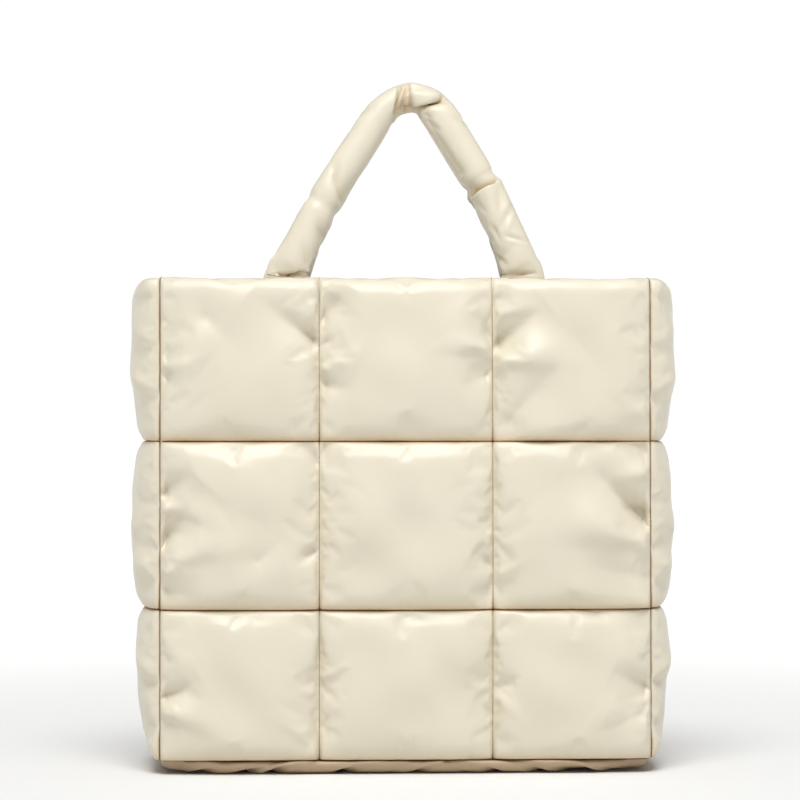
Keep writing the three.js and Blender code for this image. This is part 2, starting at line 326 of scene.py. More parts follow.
FRONT_FOLDS = (
    Fold(0, 2, 1.00, 0.60, 0.56, 0.90, 0.0109, 0.0105, -0.7),
    Fold(0, 2, 1.00, 0.80, 0.90, 0.97, 0.0030, 0.0040, -0.3),
    Fold(0, 2, 0.04, 0.50, 0.10, 0.98, 0.0030, 0.0120, -0.4),
    Fold(0, 2, 0.00, 0.42, 0.16, 0.30, 0.0044, 0.0055, 0.5),
    Fold(0, 2, 0.30, 0.75, 0.62, 0.42, 0.0024, 0.0160, 0.3),
    Fold(0, 1, 0.00, 0.68, 0.22, 0.82, 0.0077, 0.0080, -0.6),
    Fold(0, 1, 0.00, 0.38, 0.30, 0.74, 0.0102, 0.0105, -0.6),
    Fold(0, 1, 0.00, 0.15, 0.28, 0.10, 0.0050, 0.0060, 0.5),
    Fold(0, 1, 1.00, 0.36, 0.80, 0.28, 0.0044, 0.0060, 0.4),
    Fold(0, 1, 1.00, 0.85, 0.82, 0.98, 0.0070, 0.0070, -0.4),
    Fold(0, 1, 0.62, 0.30, 0.88, 0.50, 0.0022, 0.0140, 0.3),
    Fold(0, 0, 0.00, 0.41, 0.26, 0.55, 0.0077, 0.0080, -0.6),
    Fold(0, 0, 0.00, 0.29, 0.14, 0.23, 0.0044, 0.0055, 0.4),
    Fold(0, 0, 1.00, 0.16, 0.93, 0.42, 0.0050, 0.0055, 0.4),
    Fold(0, 0, 1.00, 0.50, 0.90, 0.62, 0.0030, 0.0050, -0.4),
    Fold(1, 2, 0.00, 0.72, 0.17, 0.95, 0.0090, 0.0080, 0.6),
    Fold(1, 2, 0.00, 0.59, 0.14, 0.66, 0.0044, 0.0070, 0.6),
    Fold(1, 2, 0.00, 0.37, 0.20, 0.30, 0.0055, 0.0065, 0.6),
    Fold(1, 2, 1.00, 0.62, 0.87, 0.79, 0.0070, 0.0070, 0.5),
    Fold(1, 2, 1.00, 0.44, 0.80, 0.32, 0.0039, 0.0060, 0.4),
    Fold(1, 1, 0.00, 0.88, 0.10, 0.98, 0.0070, 0.0065, 0.4),
    Fold(1, 1, 1.00, 0.26, 0.86, 0.34, 0.0055, 0.0060, -0.5),
    Fold(1, 1, 1.00, 0.17, 0.90, 0.06, 0.0050, 0.0055, 0.5),
    Fold(1, 1, 1.00, 0.55, 0.88, 0.47, 0.0025, 0.0060, 0.4),
    Fold(1, 0, 0.00, 0.50, 0.10, 0.44, 0.0039, 0.0055, 0.4),
    Fold(1, 0, 0.00, 0.22, 0.12, 0.34, 0.0030, 0.0050, 0.4),
    Fold(1, 0, 1.00, 0.30, 0.88, 0.40, 0.0030, 0.0050, -0.4),
    Fold(2, 2, 0.00, 0.58, 0.34, 0.84, 0.0109, 0.0095, -0.7),
    Fold(2, 2, 0.00, 0.82, 0.10, 0.97, 0.0050, 0.0060, -0.4),
    Fold(2, 2, 0.10, 0.14, 0.72, 0.80, 0.0042, 0.0170, -0.5),
    Fold(2, 2, 1.00, 0.24, 0.84, 0.36, 0.0030, 0.0060, 0.4),
    Fold(2, 1, 1.00, 0.52, 0.50, 0.92, 0.0141, 0.0120, 0.8),
    Fold(2, 1, 1.00, 0.88, 0.80, 0.98, 0.0055, 0.0070, 0.5),
    Fold(2, 1, 0.98, 0.19, 0.48, 0.28, 0.0039, 0.0110, 0.5),
    Fold(2, 1, 0.00, 0.16, 0.13, 0.10, 0.0039, 0.0055, 0.4),
    Fold(2, 0, 1.00, 0.46, 0.74, 0.60, 0.0077, 0.0080, 0.6),
    Fold(2, 0, 1.00, 0.38, 0.70, 0.30, 0.0050, 0.0075, 0.5),
    Fold(2, 0, 0.00, 0.48, 0.14, 0.52, 0.0044, 0.0055, -0.4),
    Fold(2, 0, 0.60, 0.98, 0.86, 0.80, 0.0030, 0.0080, 0.4),
)
GUSSET_FOLDS = (
    Fold(0, 2, 0.00, 0.90, 0.40, 0.80, 0.0039, 0.0085, 0.5),
    Fold(0, 2, 0.00, 0.58, 0.34, 0.50, 0.0026, 0.0065, 0.5),
    Fold(0, 2, 0.00, 0.27, 0.40, 0.18, 0.0039, 0.0075, 0.6),
    Fold(0, 2, 1.00, 0.62, 0.60, 0.46, 0.0036, 0.0075, -0.5),
    Fold(0, 2, 1.00, 0.22, 0.66, 0.32, 0.0029, 0.0065, 0.4),
    Fold(0, 1, 0.00, 0.62, 0.45, 0.70, 0.0042, 0.0080, -0.6),
    Fold(0, 1, 0.00, 0.55, 0.28, 0.50, 0.0033, 0.0060, 0.5),
    Fold(0, 1, 0.00, 0.36, 0.38, 0.42, 0.0033, 0.0070, -0.5),
    Fold(0, 1, 0.00, 0.18, 0.30, 0.12, 0.0026, 0.0060, 0.4),
    Fold(0, 1, 1.00, 0.72, 0.58, 0.56, 0.0039, 0.0080, 0.5),
    Fold(0, 1, 1.00, 0.30, 0.64, 0.42, 0.0036, 0.0070, -0.5),
    Fold(0, 0, 0.00, 0.52, 0.40, 0.42, 0.0039, 0.0075, 0.5),
    Fold(0, 0, 0.00, 0.22, 0.32, 0.30, 0.0033, 0.0065, -0.5),
    Fold(0, 0, 1.00, 0.56, 0.62, 0.68, 0.0039, 0.0075, 0.5),
    Fold(0, 0, 1.00, 0.24, 0.70, 0.16, 0.0026, 0.0060, 0.4),
)


@dataclass(frozen=True)
class Stuffing:
    """How a stitched skin is blown out against its seams by a short cloth simulation."""

    excess: float = 0.012
    pressure: float = 4.0
    frames: int = 20
    quality: int = 6
    mass: float = 0.3
    damping: float = 3.0
    stiffness: float = 20.0
    bending: float = 2.0
    cap: float = 0.005

    def fill(self, points: Array, quads: Array, pinned: Array) -> Array:
        """Runs the simulation and reads the skin back.

        Args:
            points: The skin's corners, in metres.
            quads: Its faces, as rows of four corners.
            pinned: True for each corner that is stitched down.

        Returns:
            The corners once the skin is full, none further than the cap from where it was.
        """
        mesh = bpy.data.meshes.new("skin_to_fill")
        mesh.from_pydata(points.tolist(), [], quads.tolist())
        skin = linked("skin_to_fill", mesh)
        group = skin.vertex_groups.new(name="stitched")
        group.add(np.flatnonzero(pinned).tolist(), 1.0, "REPLACE")
        cloth = skin.modifiers.new("Cloth", "CLOTH")
        cloth.point_cache.frame_start, cloth.point_cache.frame_end = 1, self.frames
        settings = cloth.settings
        settings.quality = self.quality
        settings.mass = self.mass
        settings.tension_stiffness = self.stiffness
        settings.compression_stiffness = self.stiffness
        settings.shear_stiffness = self.stiffness / 2
        settings.bending_stiffness = self.bending
        settings.air_damping = self.damping
        settings.vertex_group_mass = group.name
        settings.shrink_min = -self.excess
        settings.use_pressure = True
        settings.uniform_pressure_force = self.pressure
        settings.effector_weights.gravity = 0.0
        cloth.collision_settings.use_collision = False
        scene = bpy.context.scene
        for step in range(1, self.frames + 1):
            scene.frame_set(step)
        settled = skin.evaluated_get(bpy.context.evaluated_depsgraph_get()).to_mesh()
        filled = np.empty(len(points) * 3)
        settled.vertices.foreach_get("co", filled)
        scene.frame_set(1)
        bpy.data.objects.remove(skin)
        bpy.data.meshes.remove(mesh)
        moved = filled.reshape(-1, 3) - points
        length = np.linalg.norm(moved, axis=1, keepdims=True)
        return points + moved * np.minimum(1, self.cap / np.maximum(length, 1e-9))


def grid_quads(rows: int, columns: int, start: int = 0) -> Array:
    """The faces of a grid of corners, as rows of four corner numbers that start at start."""
    low = (np.arange(rows - 1)[:, None] * columns + np.arange(columns - 1)[None, :]).ravel() + start
    return np.stack([low, low + 1, low + columns + 1, low + columns], axis=1)


def refined(points: Array, seams: list[int]) -> Array:
    """Puts a corner halfway between each two along the first axis, on a smooth curve within each pad.

    Args:
        points: A grid of corners.
        seams: The lines along the first axis that stay sharp.

    Returns:
        The grid with twice as many steps along its first axis.
    """
    marks = sorted({0, *seams, len(points) - 1})
    fine = np.empty((2 * len(points) - 1, *points.shape[1:]))
    fine[::2] = points
    for low, high in zip(marks, marks[1:]):
        part = points[low : high + 1]
        before = np.concatenate([2 * part[:1] - part[1:2], part[:-2]])
        after = np.concatenate([part[2:], 2 * part[-1:] - part[-2:-1]])
        fine[2 * low + 1 : 2 * high : 2] = (9 * (part[:-1] + part[1:]) - before - after) / 16
    return fine


def strip(outer: Array, inner: Array) -> list[tuple[int, int, int]]:
    """Triangles between two edges that run side by side with different numbers of corners.

    Args:
        outer: The corner numbers along one edge.
        inner: The corner numbers along the other.

    Returns:
        The triangles, each with its corners in the order that the outer edge runs.
    """
    faces, here, there = [], 0, 0
    while here < len(outer) - 1 or there < len(inner) - 1:
        ahead = (here + 1) / (len(outer) - 1) <= (there + 1) / (len(inner) - 1) + 1e-9
        if here < len(outer) - 1 and (ahead or there == len(inner) - 1):
            faces.append((int(outer[here]), int(outer[here + 1]), int(inner[there])))
            here += 1
        else:
            faces.append((int(outer[here]), int(inner[there + 1]), int(inner[there])))
            there += 1
    return faces


def rim_loop(rows: int, columns: int, start: int) -> tuple[Array, Array, Array, Array]:
    """The four edges of a grid, one after the other round it: bottom, right, top and left."""
    numbers = np.arange(rows * columns).reshape(rows, columns) + start
    return numbers[0], numbers[:, -1], numbers[-1, ::-1], numbers[::-1, 0]


def closed_panel(outer: Array, inner: Array, flip: bool) -> tuple[Array, list]:
    """Closes an outer and an inner skin into one body.

    Args:
        outer: The outer grid of corners.
        inner: The inner grid, which may be coarser.
        flip: Whether the faces have to be turned round to point outwards.

    Returns:
        The corners and the faces.
    """
    points = np.concatenate([outer.reshape(-1, 3), inner.reshape(-1, 3)])
    start = outer.shape[0] * outer.shape[1]
    faces = [tuple(quad) for quad in grid_quads(*outer.shape[:2]).tolist()]
    faces += [tuple(quad[::-1]) for quad in grid_quads(*inner.shape[:2], start).tolist()]
    for edge, other in zip(rim_loop(*outer.shape[:2], 0), rim_loop(*inner.shape[:2], start)):
        faces += [face[::-1] for face in strip(edge, other)]
    if flip:
        faces = [face[::-1] for face in faces]
    return points, faces


def mesh_piece(name: str, points: Array, faces: list, material: bpy.types.Material) -> bpy.types.Object:
    """Makes a smooth-shaded mesh object at the origin, with its place in its mesh.

    Args:
        name: The piece's name.
        points: Its corners, in metres.
        faces: Its faces, as tuples of corner numbers.
        material: Its finish.

    Returns:
        The object, linked to the scene.
    """
    mesh = bpy.data.meshes.new(name)
    mesh.from_pydata(points.tolist(), [], faces)
    mesh.materials.append(material)
    mesh.shade_smooth()
    return linked(name, mesh)


def add_value(piece: bpy.types.Object, name: str, values: Array) -> None:
    """Stores one number for each corner of a piece, for its material to read."""
    layer = piece.data.attributes.new(name, "FLOAT", "POINT")
    layer.data.foreach_set("value", np.ascontiguousarray(values, dtype=np.float32))


def hand_over(piece: bpy.types.Object, node: str) -> None:
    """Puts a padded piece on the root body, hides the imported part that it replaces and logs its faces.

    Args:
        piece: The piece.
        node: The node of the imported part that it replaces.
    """
    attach(piece, "root")
    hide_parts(node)
    LOG.info("%s: %d faces", piece.name, len(piece.data.polygons))


def add_node(tree: bpy.types.NodeTree, kind: str, settings: dict | None = None, **sockets) -> bpy.types.Node:
    """Adds a node with its settings, and fills or links its inputs.

    Args:
        tree: The tree that the node goes into.
        kind: Blender's name for the node.
        settings: Properties of the node.
        **sockets: A value or an output for each input, by its name with _ for each space.

    Returns:
        The node.
    """
    node = tree.nodes.new(kind)
    for name, value in (settings or {}).items():
        setattr(node, name, value)
    for name, value in sockets.items():
        socket = node.inputs[int(name[1:])] if name[0] == "i" and name[1:].isdigit() else None
        socket = socket or node.inputs[name.replace("_", " ")]
        if isinstance(value, bpy.types.NodeSocket):
            tree.links.new(value, socket)
        else:
            socket.default_value = value
    return node


@dataclass(frozen=True)
class FauxLeather:
    """Polyurethane-coated fabric, calendered with a very fine grain: smooth, satin and slightly uneven."""

    name: str = "faux_leather_calendered_satin"
    face: str = "#D8D0BB"
    pale: str = "#DED7C4"
    # Painted shade: a warm tan painted near seams, over the base roll and in handle creases, for the shade
    # and bounce light between pads.
    painted_warm_shade: str = "#C6A679"
    painted_warm_shade_range_mm: tuple[float, float] = (0.0, 17.0)
    painted_warm_shade_share: float = 0.62
    # Painted shadow: a dark brown painted into the seam slits and the bottoms of handle creases, where shade
    # falls; the stitches themselves are a piece of their own.
    stitched: str = "#6E4A2A"
    painted_seam_shadow_range_mm: tuple[float, float] = (0.25, 0.85)
    painted_seam_shadow_share: float = 0.9
    roughness: float = 0.37
    grain_mm: float = 0.9
    wave_mm: float = 7.2
    mottle_mm: float = 60.0

    def build(self) -> bpy.types.Material:
        """Builds the material's nodes.

        Returns:
            The material.
        """
        material = bpy.data.materials.new(self.name)
        tree = cleared_tree(material)
        place = add_node(tree, "ShaderNodeTexCoord").outputs["Object"]
        mottle = add_node(tree, "ShaderNodeTexNoise", Vector=place, Scale=1000 / self.mottle_mm, Detail=3.0)
        shade = add_node(
            tree, "ShaderNodeMix", {"data_type": "RGBA"},
            i0=mottle.outputs["Fac"], i6=linear(self.face), i7=linear(self.pale),
        ).outputs[2]
        distance = add_node(tree, "ShaderNodeAttribute", {"attribute_name": "painted_shade_mm"}).outputs["Fac"]
        # Paints shade by the distance attribute: first the warm painted shade, then the dark painted shadow
        # right in the seam slits and crease bottoms.
        for colour, (near, far), most in (
            (self.painted_warm_shade, self.painted_warm_shade_range_mm, self.painted_warm_shade_share),
            (self.stitched, self.painted_seam_shadow_range_mm, self.painted_seam_shadow_share),
        ):
            share = add_node(
                tree, "ShaderNodeMapRange", {"interpolation_type": "SMOOTHSTEP"},
                Value=distance, From_Min=near, From_Max=far, To_Min=most, To_Max=0.0,
            )
            shade = add_node(
                tree, "ShaderNodeMix", {"data_type": "RGBA"},
                i0=share.outputs["Result"], i6=shade, i7=linear(colour),
            ).outputs[2]
        grain = add_node(tree, "ShaderNodeTexVoronoi", Vector=place, Scale=1000 / self.grain_mm)
        fine = add_node(
            tree, "ShaderNodeBump", Height=grain.outputs["Distance"], Strength=0.06, Distance=0.0002,
        )
        waves = add_node(tree, "ShaderNodeTexNoise", Vector=place, Scale=1000 / self.wave_mm, Detail=4.0)
        bump = add_node(
            tree, "ShaderNodeBump", Height=waves.outputs["Fac"], Strength=0.12, Distance=0.0006,
            Normal=fine.outputs["Normal"],
        )
        rough = add_node(
            tree, "ShaderNodeMapRange", Value=mottle.outputs["Fac"],
            To_Min=self.roughness - 0.04, To_Max=self.roughness + 0.05,
        )
        shader = add_node(
            tree, "ShaderNodeBsdfPrincipled", Base_Color=shade, IOR=1.47,
            Roughness=rough.outputs["Result"], Normal=bump.outputs["Normal"],
        )
        add_node(tree, "ShaderNodeOutputMaterial", Surface=shader.outputs["BSDF"])
        return material


@dataclass(frozen=True)
class Thread:
    """Bonded polyester sewing thread, twisted and waxed: a fine cord, dull but not matt, in a brown that is
    partly the thread's own colour and partly painted seam shadow.
    """

    name: str = "polyester_thread_bonded"
    # Partly painted shadow: darker than the thread itself, so that the stitches also carry the dark shade of
    # the seam line.
    colour: str = "#A08258"
    roughness: float = 0.55

    def build(self) -> bpy.types.Material:
        """Builds the material. Its plies are too fine to show and are left out.

        Returns:
            The material.
        """
        material = bpy.data.materials.new(self.name)
        material.use_nodes = True
        shader = material.node_tree.nodes["Principled BSDF"]
        shader.inputs["Base Color"].default_value = linear(self.colour)
        shader.inputs["Roughness"].default_value = self.roughness
        shader.inputs["Sheen Weight"].default_value = 0.2
        return material


@dataclass
class Stitching:
    """Lock stitches along seams: a node tree lays one low-poly stitch at each step of a path."""

    material: bpy.types.Material
    pitch: float = 0.0034
    length: float = 0.0023
    thickness: float = 0.0006
    unevenness: float = 0.12
    seed: int = 11

    def tree(self) -> bpy.types.NodeTree:
        """Builds the node tree.

        Returns:
            The tree, with an input for each size.
        """
        tree = bpy.data.node_groups.new("lock_stitches", "GeometryNodeTree")
        tree.interface.new_socket("Seams", in_out="INPUT", socket_type="NodeSocketGeometry")
        for name in ("Pitch", "Length", "Thickness"):
            tree.interface.new_socket(name, in_out="INPUT", socket_type="NodeSocketFloat")
        tree.interface.new_socket("Stitches", in_out="OUTPUT", socket_type="NodeSocketGeometry")
        given = add_node(tree, "NodeGroupInput").outputs
        curve = add_node(tree, "GeometryNodeMeshToCurve", Mesh=given["Seams"]).outputs["Curve"]
        steps = add_node(
            tree, "GeometryNodeResampleCurve", {"mode": "LENGTH"}, Curve=curve, Length=given["Pitch"],
        )
        grain = add_node(tree, "GeometryNodeMeshUVSphere", Segments=6, Rings=4, Radius=0.5)
        thick = given["Thickness"]
        size = add_node(tree, "ShaderNodeCombineXYZ", X=given["Length"], Y=thick, Z=thick).outputs["Vector"]
        stitch = add_node(tree, "GeometryNodeTransform", Geometry=grain.outputs["Mesh"], Scale=size)
        along = add_node(tree, "GeometryNodeInputTangent").outputs["Tangent"]
        turn = add_node(tree, "FunctionNodeAlignRotationToVector", {"axis": "X"}, Vector=along)
        low, high = 1 - self.unevenness, 1 + self.unevenness
        uneven = add_node(
            tree, "FunctionNodeRandomValue", {"data_type": "FLOAT_VECTOR"},
            i0=(low,) * 3, i1=(high,) * 3, Seed=self.seed,
        )
        laid = add_node(
            tree, "GeometryNodeInstanceOnPoints", Points=steps.outputs["Curve"],
            Instance=stitch.outputs["Geometry"], Rotation=turn.outputs["Rotation"],
            Scale=uneven.outputs["Value"],
        )
        smooth = add_node(tree, "GeometryNodeSetShadeSmooth", Geometry=laid.outputs["Instances"])
        real = add_node(tree, "GeometryNodeRealizeInstances", Geometry=smooth.outputs["Geometry"])
        done = add_node(
            tree, "GeometryNodeSetMaterial", Geometry=real.outputs["Geometry"], Material=self.material,
        )
        add_node(tree, "NodeGroupOutput", i0=done.outputs["Geometry"])
        return tree

    def sew(self, name: str, slot: str, paths: list[Array]) -> bpy.types.Object:
        """Sews along a list of paths.

        Args:
            name: The name of the stitches' piece.
            slot: Not used.
            paths: Each seam as a row of places, in metres.

        Returns:
            The finished piece, a plain mesh of closed stitches.
        """
        edges, start = [], 0
        for path in paths:
            edges += [(start + step, start + step + 1) for step in range(len(path) - 1)]
            start += len(path)
        mesh = bpy.data.meshes.new(f"{name}_path")
        mesh.from_pydata(np.concatenate(paths).tolist(), edges, [])
        guide = linked(f"{name}_path", mesh)
        sewn = guide.modifiers.new("lock_stitches", "NODES")
        sewn.node_group = self.tree()
        sizes = {"Pitch": self.pitch, "Length": self.length, "Thickness": self.thickness}
        for item in sewn.node_group.interface.items_tree:
            if item.name in sizes:
                sewn[item.identifier] = sizes[item.name]
        graph = bpy.context.evaluated_depsgraph_get()
        plain = bpy.data.meshes.new_from_object(guide.evaluated_get(graph), depsgraph=graph)
        bpy.data.objects.remove(guide)
        piece = linked(name, plain)
        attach(piece, "root")
        LOG.info("%s: %d faces", name, len(plain.polygons))
        return piece


@dataclass
class QuiltedPanel:
    """A padded panel, stitched into pads along a grid of seams, with a plain lining on its inside."""

    sizes: BagSizes
    material: bpy.types.Material
    name: str
    node: str
    facing: Facing
    folds: tuple[Fold, ...] = ()
    seed: int = 1
    stitching: Stitching | None = None
    stuffing: Stuffing = field(default_factory=Stuffing)
    fill: float = 0.75
    puff: float = 0.0155
    spacing: float = 0.003
    lining_spacing: float = 0.007
    upright_draw: float = 0.45
    level_draw: float = 0.96
    valley: float = 0.42
    squareness: float = 4.5
    level_squareness: float = 7.5
    droop: float = 0.94
    overhang: float = 0.09
    overhang_start: float = 0.003
    level_gap: float = 0.00015
    upright_gap: float = 0.0001
    held_reach: float = 0.005
    held_fade: float = 0.010
    ripple: float = 0.0018
    ripple_count: int = 14
    ripple_lengths: tuple[float, float] = (0.035, 0.09)
    pucker_step: float = 0.011
    pucker_runs: tuple[float, float] = (0.004, 0.015)
    pucker_lean: float = 0.9
    pucker_depth: float = 0.0016
    pucker_shares: tuple[float, ...] = (1.0, 1.0, 0.8, 0.35)
    pucker_widths: tuple[float, float] = (0.0012, 0.0024)
    pucker_ridge: float = 0.3
    fold_gain: float = 1.5
    fold_margin: float = 9.0
    fold_start: float = 0.7
    fold_widening: float = 1.6
    groove_gain: float = 1.35
    groove_slope: float = 1.6
    lip_place: float = 1.9
    lip_reach: float = 2.6
    lip_cap: float = 0.0062
    thread_lift: float = 0.0003
    # These shape seam_shade, which sets where the painted shade and the dark painted seam shadow fall.
    line_width: float = 0.00005
    line_contrast: float = 50.0
    line_depth: float = 0.005
    slit_depth: float = 0.004
    slit_growth: float = 0.42
    pad_growths: tuple[float, float] = (1.0, 3.5)

    def lines(self, spacing: float, drawn: bool) -> tuple[Lines, Lines]:
        """The grid lines across and up the wall, drawn in towards the seams or even."""
        across = Lines.between(self.upright_seams(), spacing, self.upright_draw * drawn)
        return across, Lines.up_wall(self.sizes, spacing, self.level_draw * drawn)

    def upright_seams(self) -> tuple[float, ...]:
        """Where the panel's upright seams lie, from left to right."""
        return self.sizes.column_seams

    def place(self, across: Lines, up: Lines, offset: Array) -> Array:
        """Where corners lie that stand a distance off the middle of the wall.

        Args:
            across: The lines across.
            up: The lines up.
            offset: The distance for each row and column, outwards positive.

        Returns:
            The corners, row by row.
        """
        sizes = self.sizes
        height = np.broadcast_to(up.at[:, None], offset.shape)
        x = np.broadcast_to(across.at[None, :], offset.shape)
        depth = sizes.half_depth(height) + sizes.bowed(sizes.panel_bow, x / sizes.half_width, height) + offset
        x = self.mitred(x, -sizes.half_width, sizes.half_width, offset)
        return np.stack([x, self.facing.value * depth, self.lifted(height, offset[:1])], axis=2)

    def mitred(self, at: Array, low: Array, high: Array, offset: Array) -> Array:
        """Moves places between two seams so that the panel's edges meet their neighbours at a mitre.

        Args:
            at: The places, row by row.
            low: Where the seam below them lies.
            high: Where the seam above them lies.
            offset: How far the corners stand off the middle of the wall.

        Returns:
            The places, spread over what the mitre leaves.
        """
        limit, inset = self.sizes.seam_half, self.sizes.mitre_inset
        start = low - np.clip(offset[:, :1], -limit, limit) + inset
        end = high + np.clip(offset[:, -1:], -limit, limit) - inset
        return mix(start, end, (at - low) / (high - low))

    def lifted(self, height: Array, offset: Array) -> Array:
        """Moves heights so that the bottom edge meets the base at a mitre.

        Args:
            height: The heights, row by row.
            offset: How far the bottom edge stands off the middle of the wall.

        Returns:
            The new heights.
        """
        sizes = self.sizes
        start = sizes.bottom_seam - np.clip(offset, -sizes.seam_half, sizes.seam_half) + sizes.mitre_inset
        return mix(start, sizes.rim, (height - sizes.bottom_seam) / (sizes.rim - sizes.bottom_seam))

    def swell(self, share: Array, squareness: float) -> Array:
        """How full a pad is at each share of the way between its seams."""
        return np.sqrt(np.maximum(0, 1 - np.abs(2 * share - 1) ** squareness))

    def open_share(self, up: Lines) -> Array:
        """How far up its pad each line is, where the top pads are half ones that are open at the rim."""
        return np.where(up.last(), up.share * 0.5, up.share)

    def swell_up(self, up: Lines) -> Array:
        """How full each row is at each line up the wall, with pads that droop a little."""
        return self.swell(self.open_share(up) ** self.droop, self.level_squareness)

    def skin(self, across: Lines, up: Lines) -> Array:
        """How far the skin stands off the middle of the wall.

        Args:
            across: The lines across.
            up: The lines up, and over the rim to the inside.

        Returns:
            The distance for each row and column, in metres, which is negative inside the rim.
        """
        crown = mix(self.valley, 1.0, self.swell(across.share, self.squareness))
        out = self.sizes.seam_half + self.swell_up(up)[:, None] * crown[None, :] * self.puff
        turned = np.cos(up.turn)[:, None]
        return np.where(turned > 0, out * turned, self.lined(across, up) * np.abs(turned))

    def lined(self, across: Lines, up: Lines) -> Array:
        """How far the lining stands off the middle of the wall.

        Args:
            across: The lines across.
            up: The lines up.

        Returns:
            The distance for each row and column, in metres, which is negative.
        """
        share = self.open_share(up)
        crown = (4 * share * (1 - share))[:, None] * (4 * across.share * (1 - across.share))[None, :]
        return -self.sizes.seam_half - self.sizes.lining_puff * crown

    def stitched(self, across: Lines, up: Lines) -> Array:
        """Which corners of the skin the seams and edges hold down.

        Args:
            across: The lines across.
            up: The lines up.

        Returns:
            True for each corner that is held, by row and column.
        """
        held = np.zeros((len(up.at), len(across.at)), bool)
        held[:, [0, *across.marks(), -1]] = True
        held[[0, *up.marks(), -1], :] = True
        return held

    def build(self) -> bpy.types.Object:
        """Builds the panel: its filled skin, its lining and its edges.

        Returns:
            The finished piece.
        """
        across, up = self.lines(self.spacing, True)
        start = self.place(across, up, self.skin(across, up))
        quads = grid_quads(*start.shape[:2])
        if self.flipped():
            quads = quads[:, ::-1]
        filled = self.stuffing.fill(start.reshape(-1, 3), quads, self.stitched(across, up).ravel())
        free = ramp(up.beside(up.seams), self.held_reach, self.held_fade)[:, None, None]
        filled = self.parted(mix(start, filled.reshape(start.shape), free), across, up)
        outer = refined(refined(filled, up.marks()).swapaxes(0, 1), across.marks()).swapaxes(0, 1)
        across, up = across.halved(), up.halved()
        outer = self.parted(self.creased(outer, across, up), across, up)
        piece = self.closed(outer, self.lining(), 1000 * self.seam_shade(across, up), self.flipped())
        self.stitching.sew(f"{self.name}_stitches", "shell", self.seams(outer, across, up))
        return piece

    def closed(self, outer: Array, inner: Array, shade: Array, flip: bool) -> bpy.types.Object:
        """Makes the piece of its two skins, with its values for the material.

        Args:
            outer: The outer grid of corners.
            inner: The grid of the lining.
            shade: The distance from a seam at each outer corner that sets its painted shade, in millimetres.
            flip: Whether the faces have to be turned round to point outwards.

        Returns:
            The finished piece.
        """
        points, faces = closed_panel(outer, inner, flip)
        piece = mesh_piece(self.name, points, faces, self.material)
        distance = np.full(len(points), NO_SEAM_MM)
        distance[: shade.size] = shade.ravel()
        add_value(piece, "painted_shade_mm", distance)
        hand_over(piece, self.node)
        return piece

    def seams(self, outer: Array, across: Lines, up: Lines) -> list[Array]:
        """The paths that the thread takes, a hair in front of the skin.

        Args:
            outer: The skin's corners, row by row.
            across: The lines across.
            up: The lines up.

        Returns:
            The upright seams of a wide panel and the level seams of any, each as a row of places.
        """
        lifted = outer.copy()
        lifted[..., 1 - self.seam_line()] += self.facing.value * self.thread_lift
        shown = np.cos(up.turn) > -0.5
        upright = across.marks() if self.seam_line() == 0 else []
        return [lifted[shown, mark] for mark in upright] + [lifted[mark] for mark in up.marks()]

    def lining(self) -> Array:
        """The inside, whose top edge lies a little below the end of the rolled rim.

        Returns:
            The corners, row by row.
        """
        across, up = self.lines(self.lining_spacing, False)
        keep = up.turn == 0
        up = Lines(up.run[keep], up.at[keep], up.share[keep], up.turn[keep], up.seams, up.ends)
        up.at[-1] -= 0.25 * self.lining_spacing
        return self.place(across, up, self.lined(across, up))

    def parted(self, points: Array, across: Lines, up: Lines) -> Array:
        """Keeps each pad on its own side of its seams, where the full skin would run into its neighbour.

        Args:
            points: The skin's corners, row by row.
            across: The lines across.
            up: The lines up.

        Returns:
            The corners, with those that crossed a seam's plane laid against it.
        """
        points = points.copy()
        outside = np.cos(up.turn)[:, None] > 0.2
        column, ends = across.pads(), np.array(across.ends)
        gap = np.minimum(self.upright_gap, across.beside(across.ends))[None, :]
        low = np.where(column > 0, ends[column] + gap, -NO_LIMIT)
        high = np.where(column < len(ends) - 2, ends[column + 1] - gap, NO_LIMIT)
        line = points[..., self.seam_line()]
        points[..., self.seam_line()] = np.where(outside, np.clip(line, low, high), line)
        row, ends = up.pads(), np.array((*up.seams, NO_LIMIT))
        level = ends[np.minimum(row, len(ends) - 2)][:, None]
        above = ends[np.minimum(row + 1, len(ends) - 1)][:, None]
        gap = np.minimum(self.level_gap, 0.6 * up.beside(up.seams))[:, None]
        drop = self.overhang * np.maximum(0, self.reach(points) - self.overhang_start)
        low = np.where(row[:, None] > 0, level + gap - drop, level + gap)
        points[..., 2] = np.where(outside, np.clip(points[..., 2], low, above - gap - drop), points[..., 2])
        return self.cornered(points, outside)

    def cornered(self, points: Array, outside: Array) -> Array:
        """Keeps the pads behind the line of the corner seams, where the gussets start.

        Args:
            points: The skin's corners, row by row.
            outside: True for each row that lies outside the rim.

        Returns:
            The same corners, moved.
        """
        limit = self.sizes.half_width + self.sizes.seam_half
        points[..., 0] = np.where(outside, np.clip(points[..., 0], -limit, limit), points[..., 0])
        return points

    def seam_line(self) -> int:
        """The axis that the panel's upright seams are spaced along."""
        return 0

    def reach(self, points: Array) -> Array:
        """How far each corner stands off the middle of the wall.

        Args:
            points: The skin's corners, row by row.

        Returns:
            The distance for each corner, in metres.
        """
        sizes, z = self.sizes, points[..., 2]
        bow = sizes.bowed(sizes.panel_bow, points[..., 0] / sizes.half_width, z)
        return np.abs(points[..., 1]) - sizes.half_depth(z) - bow

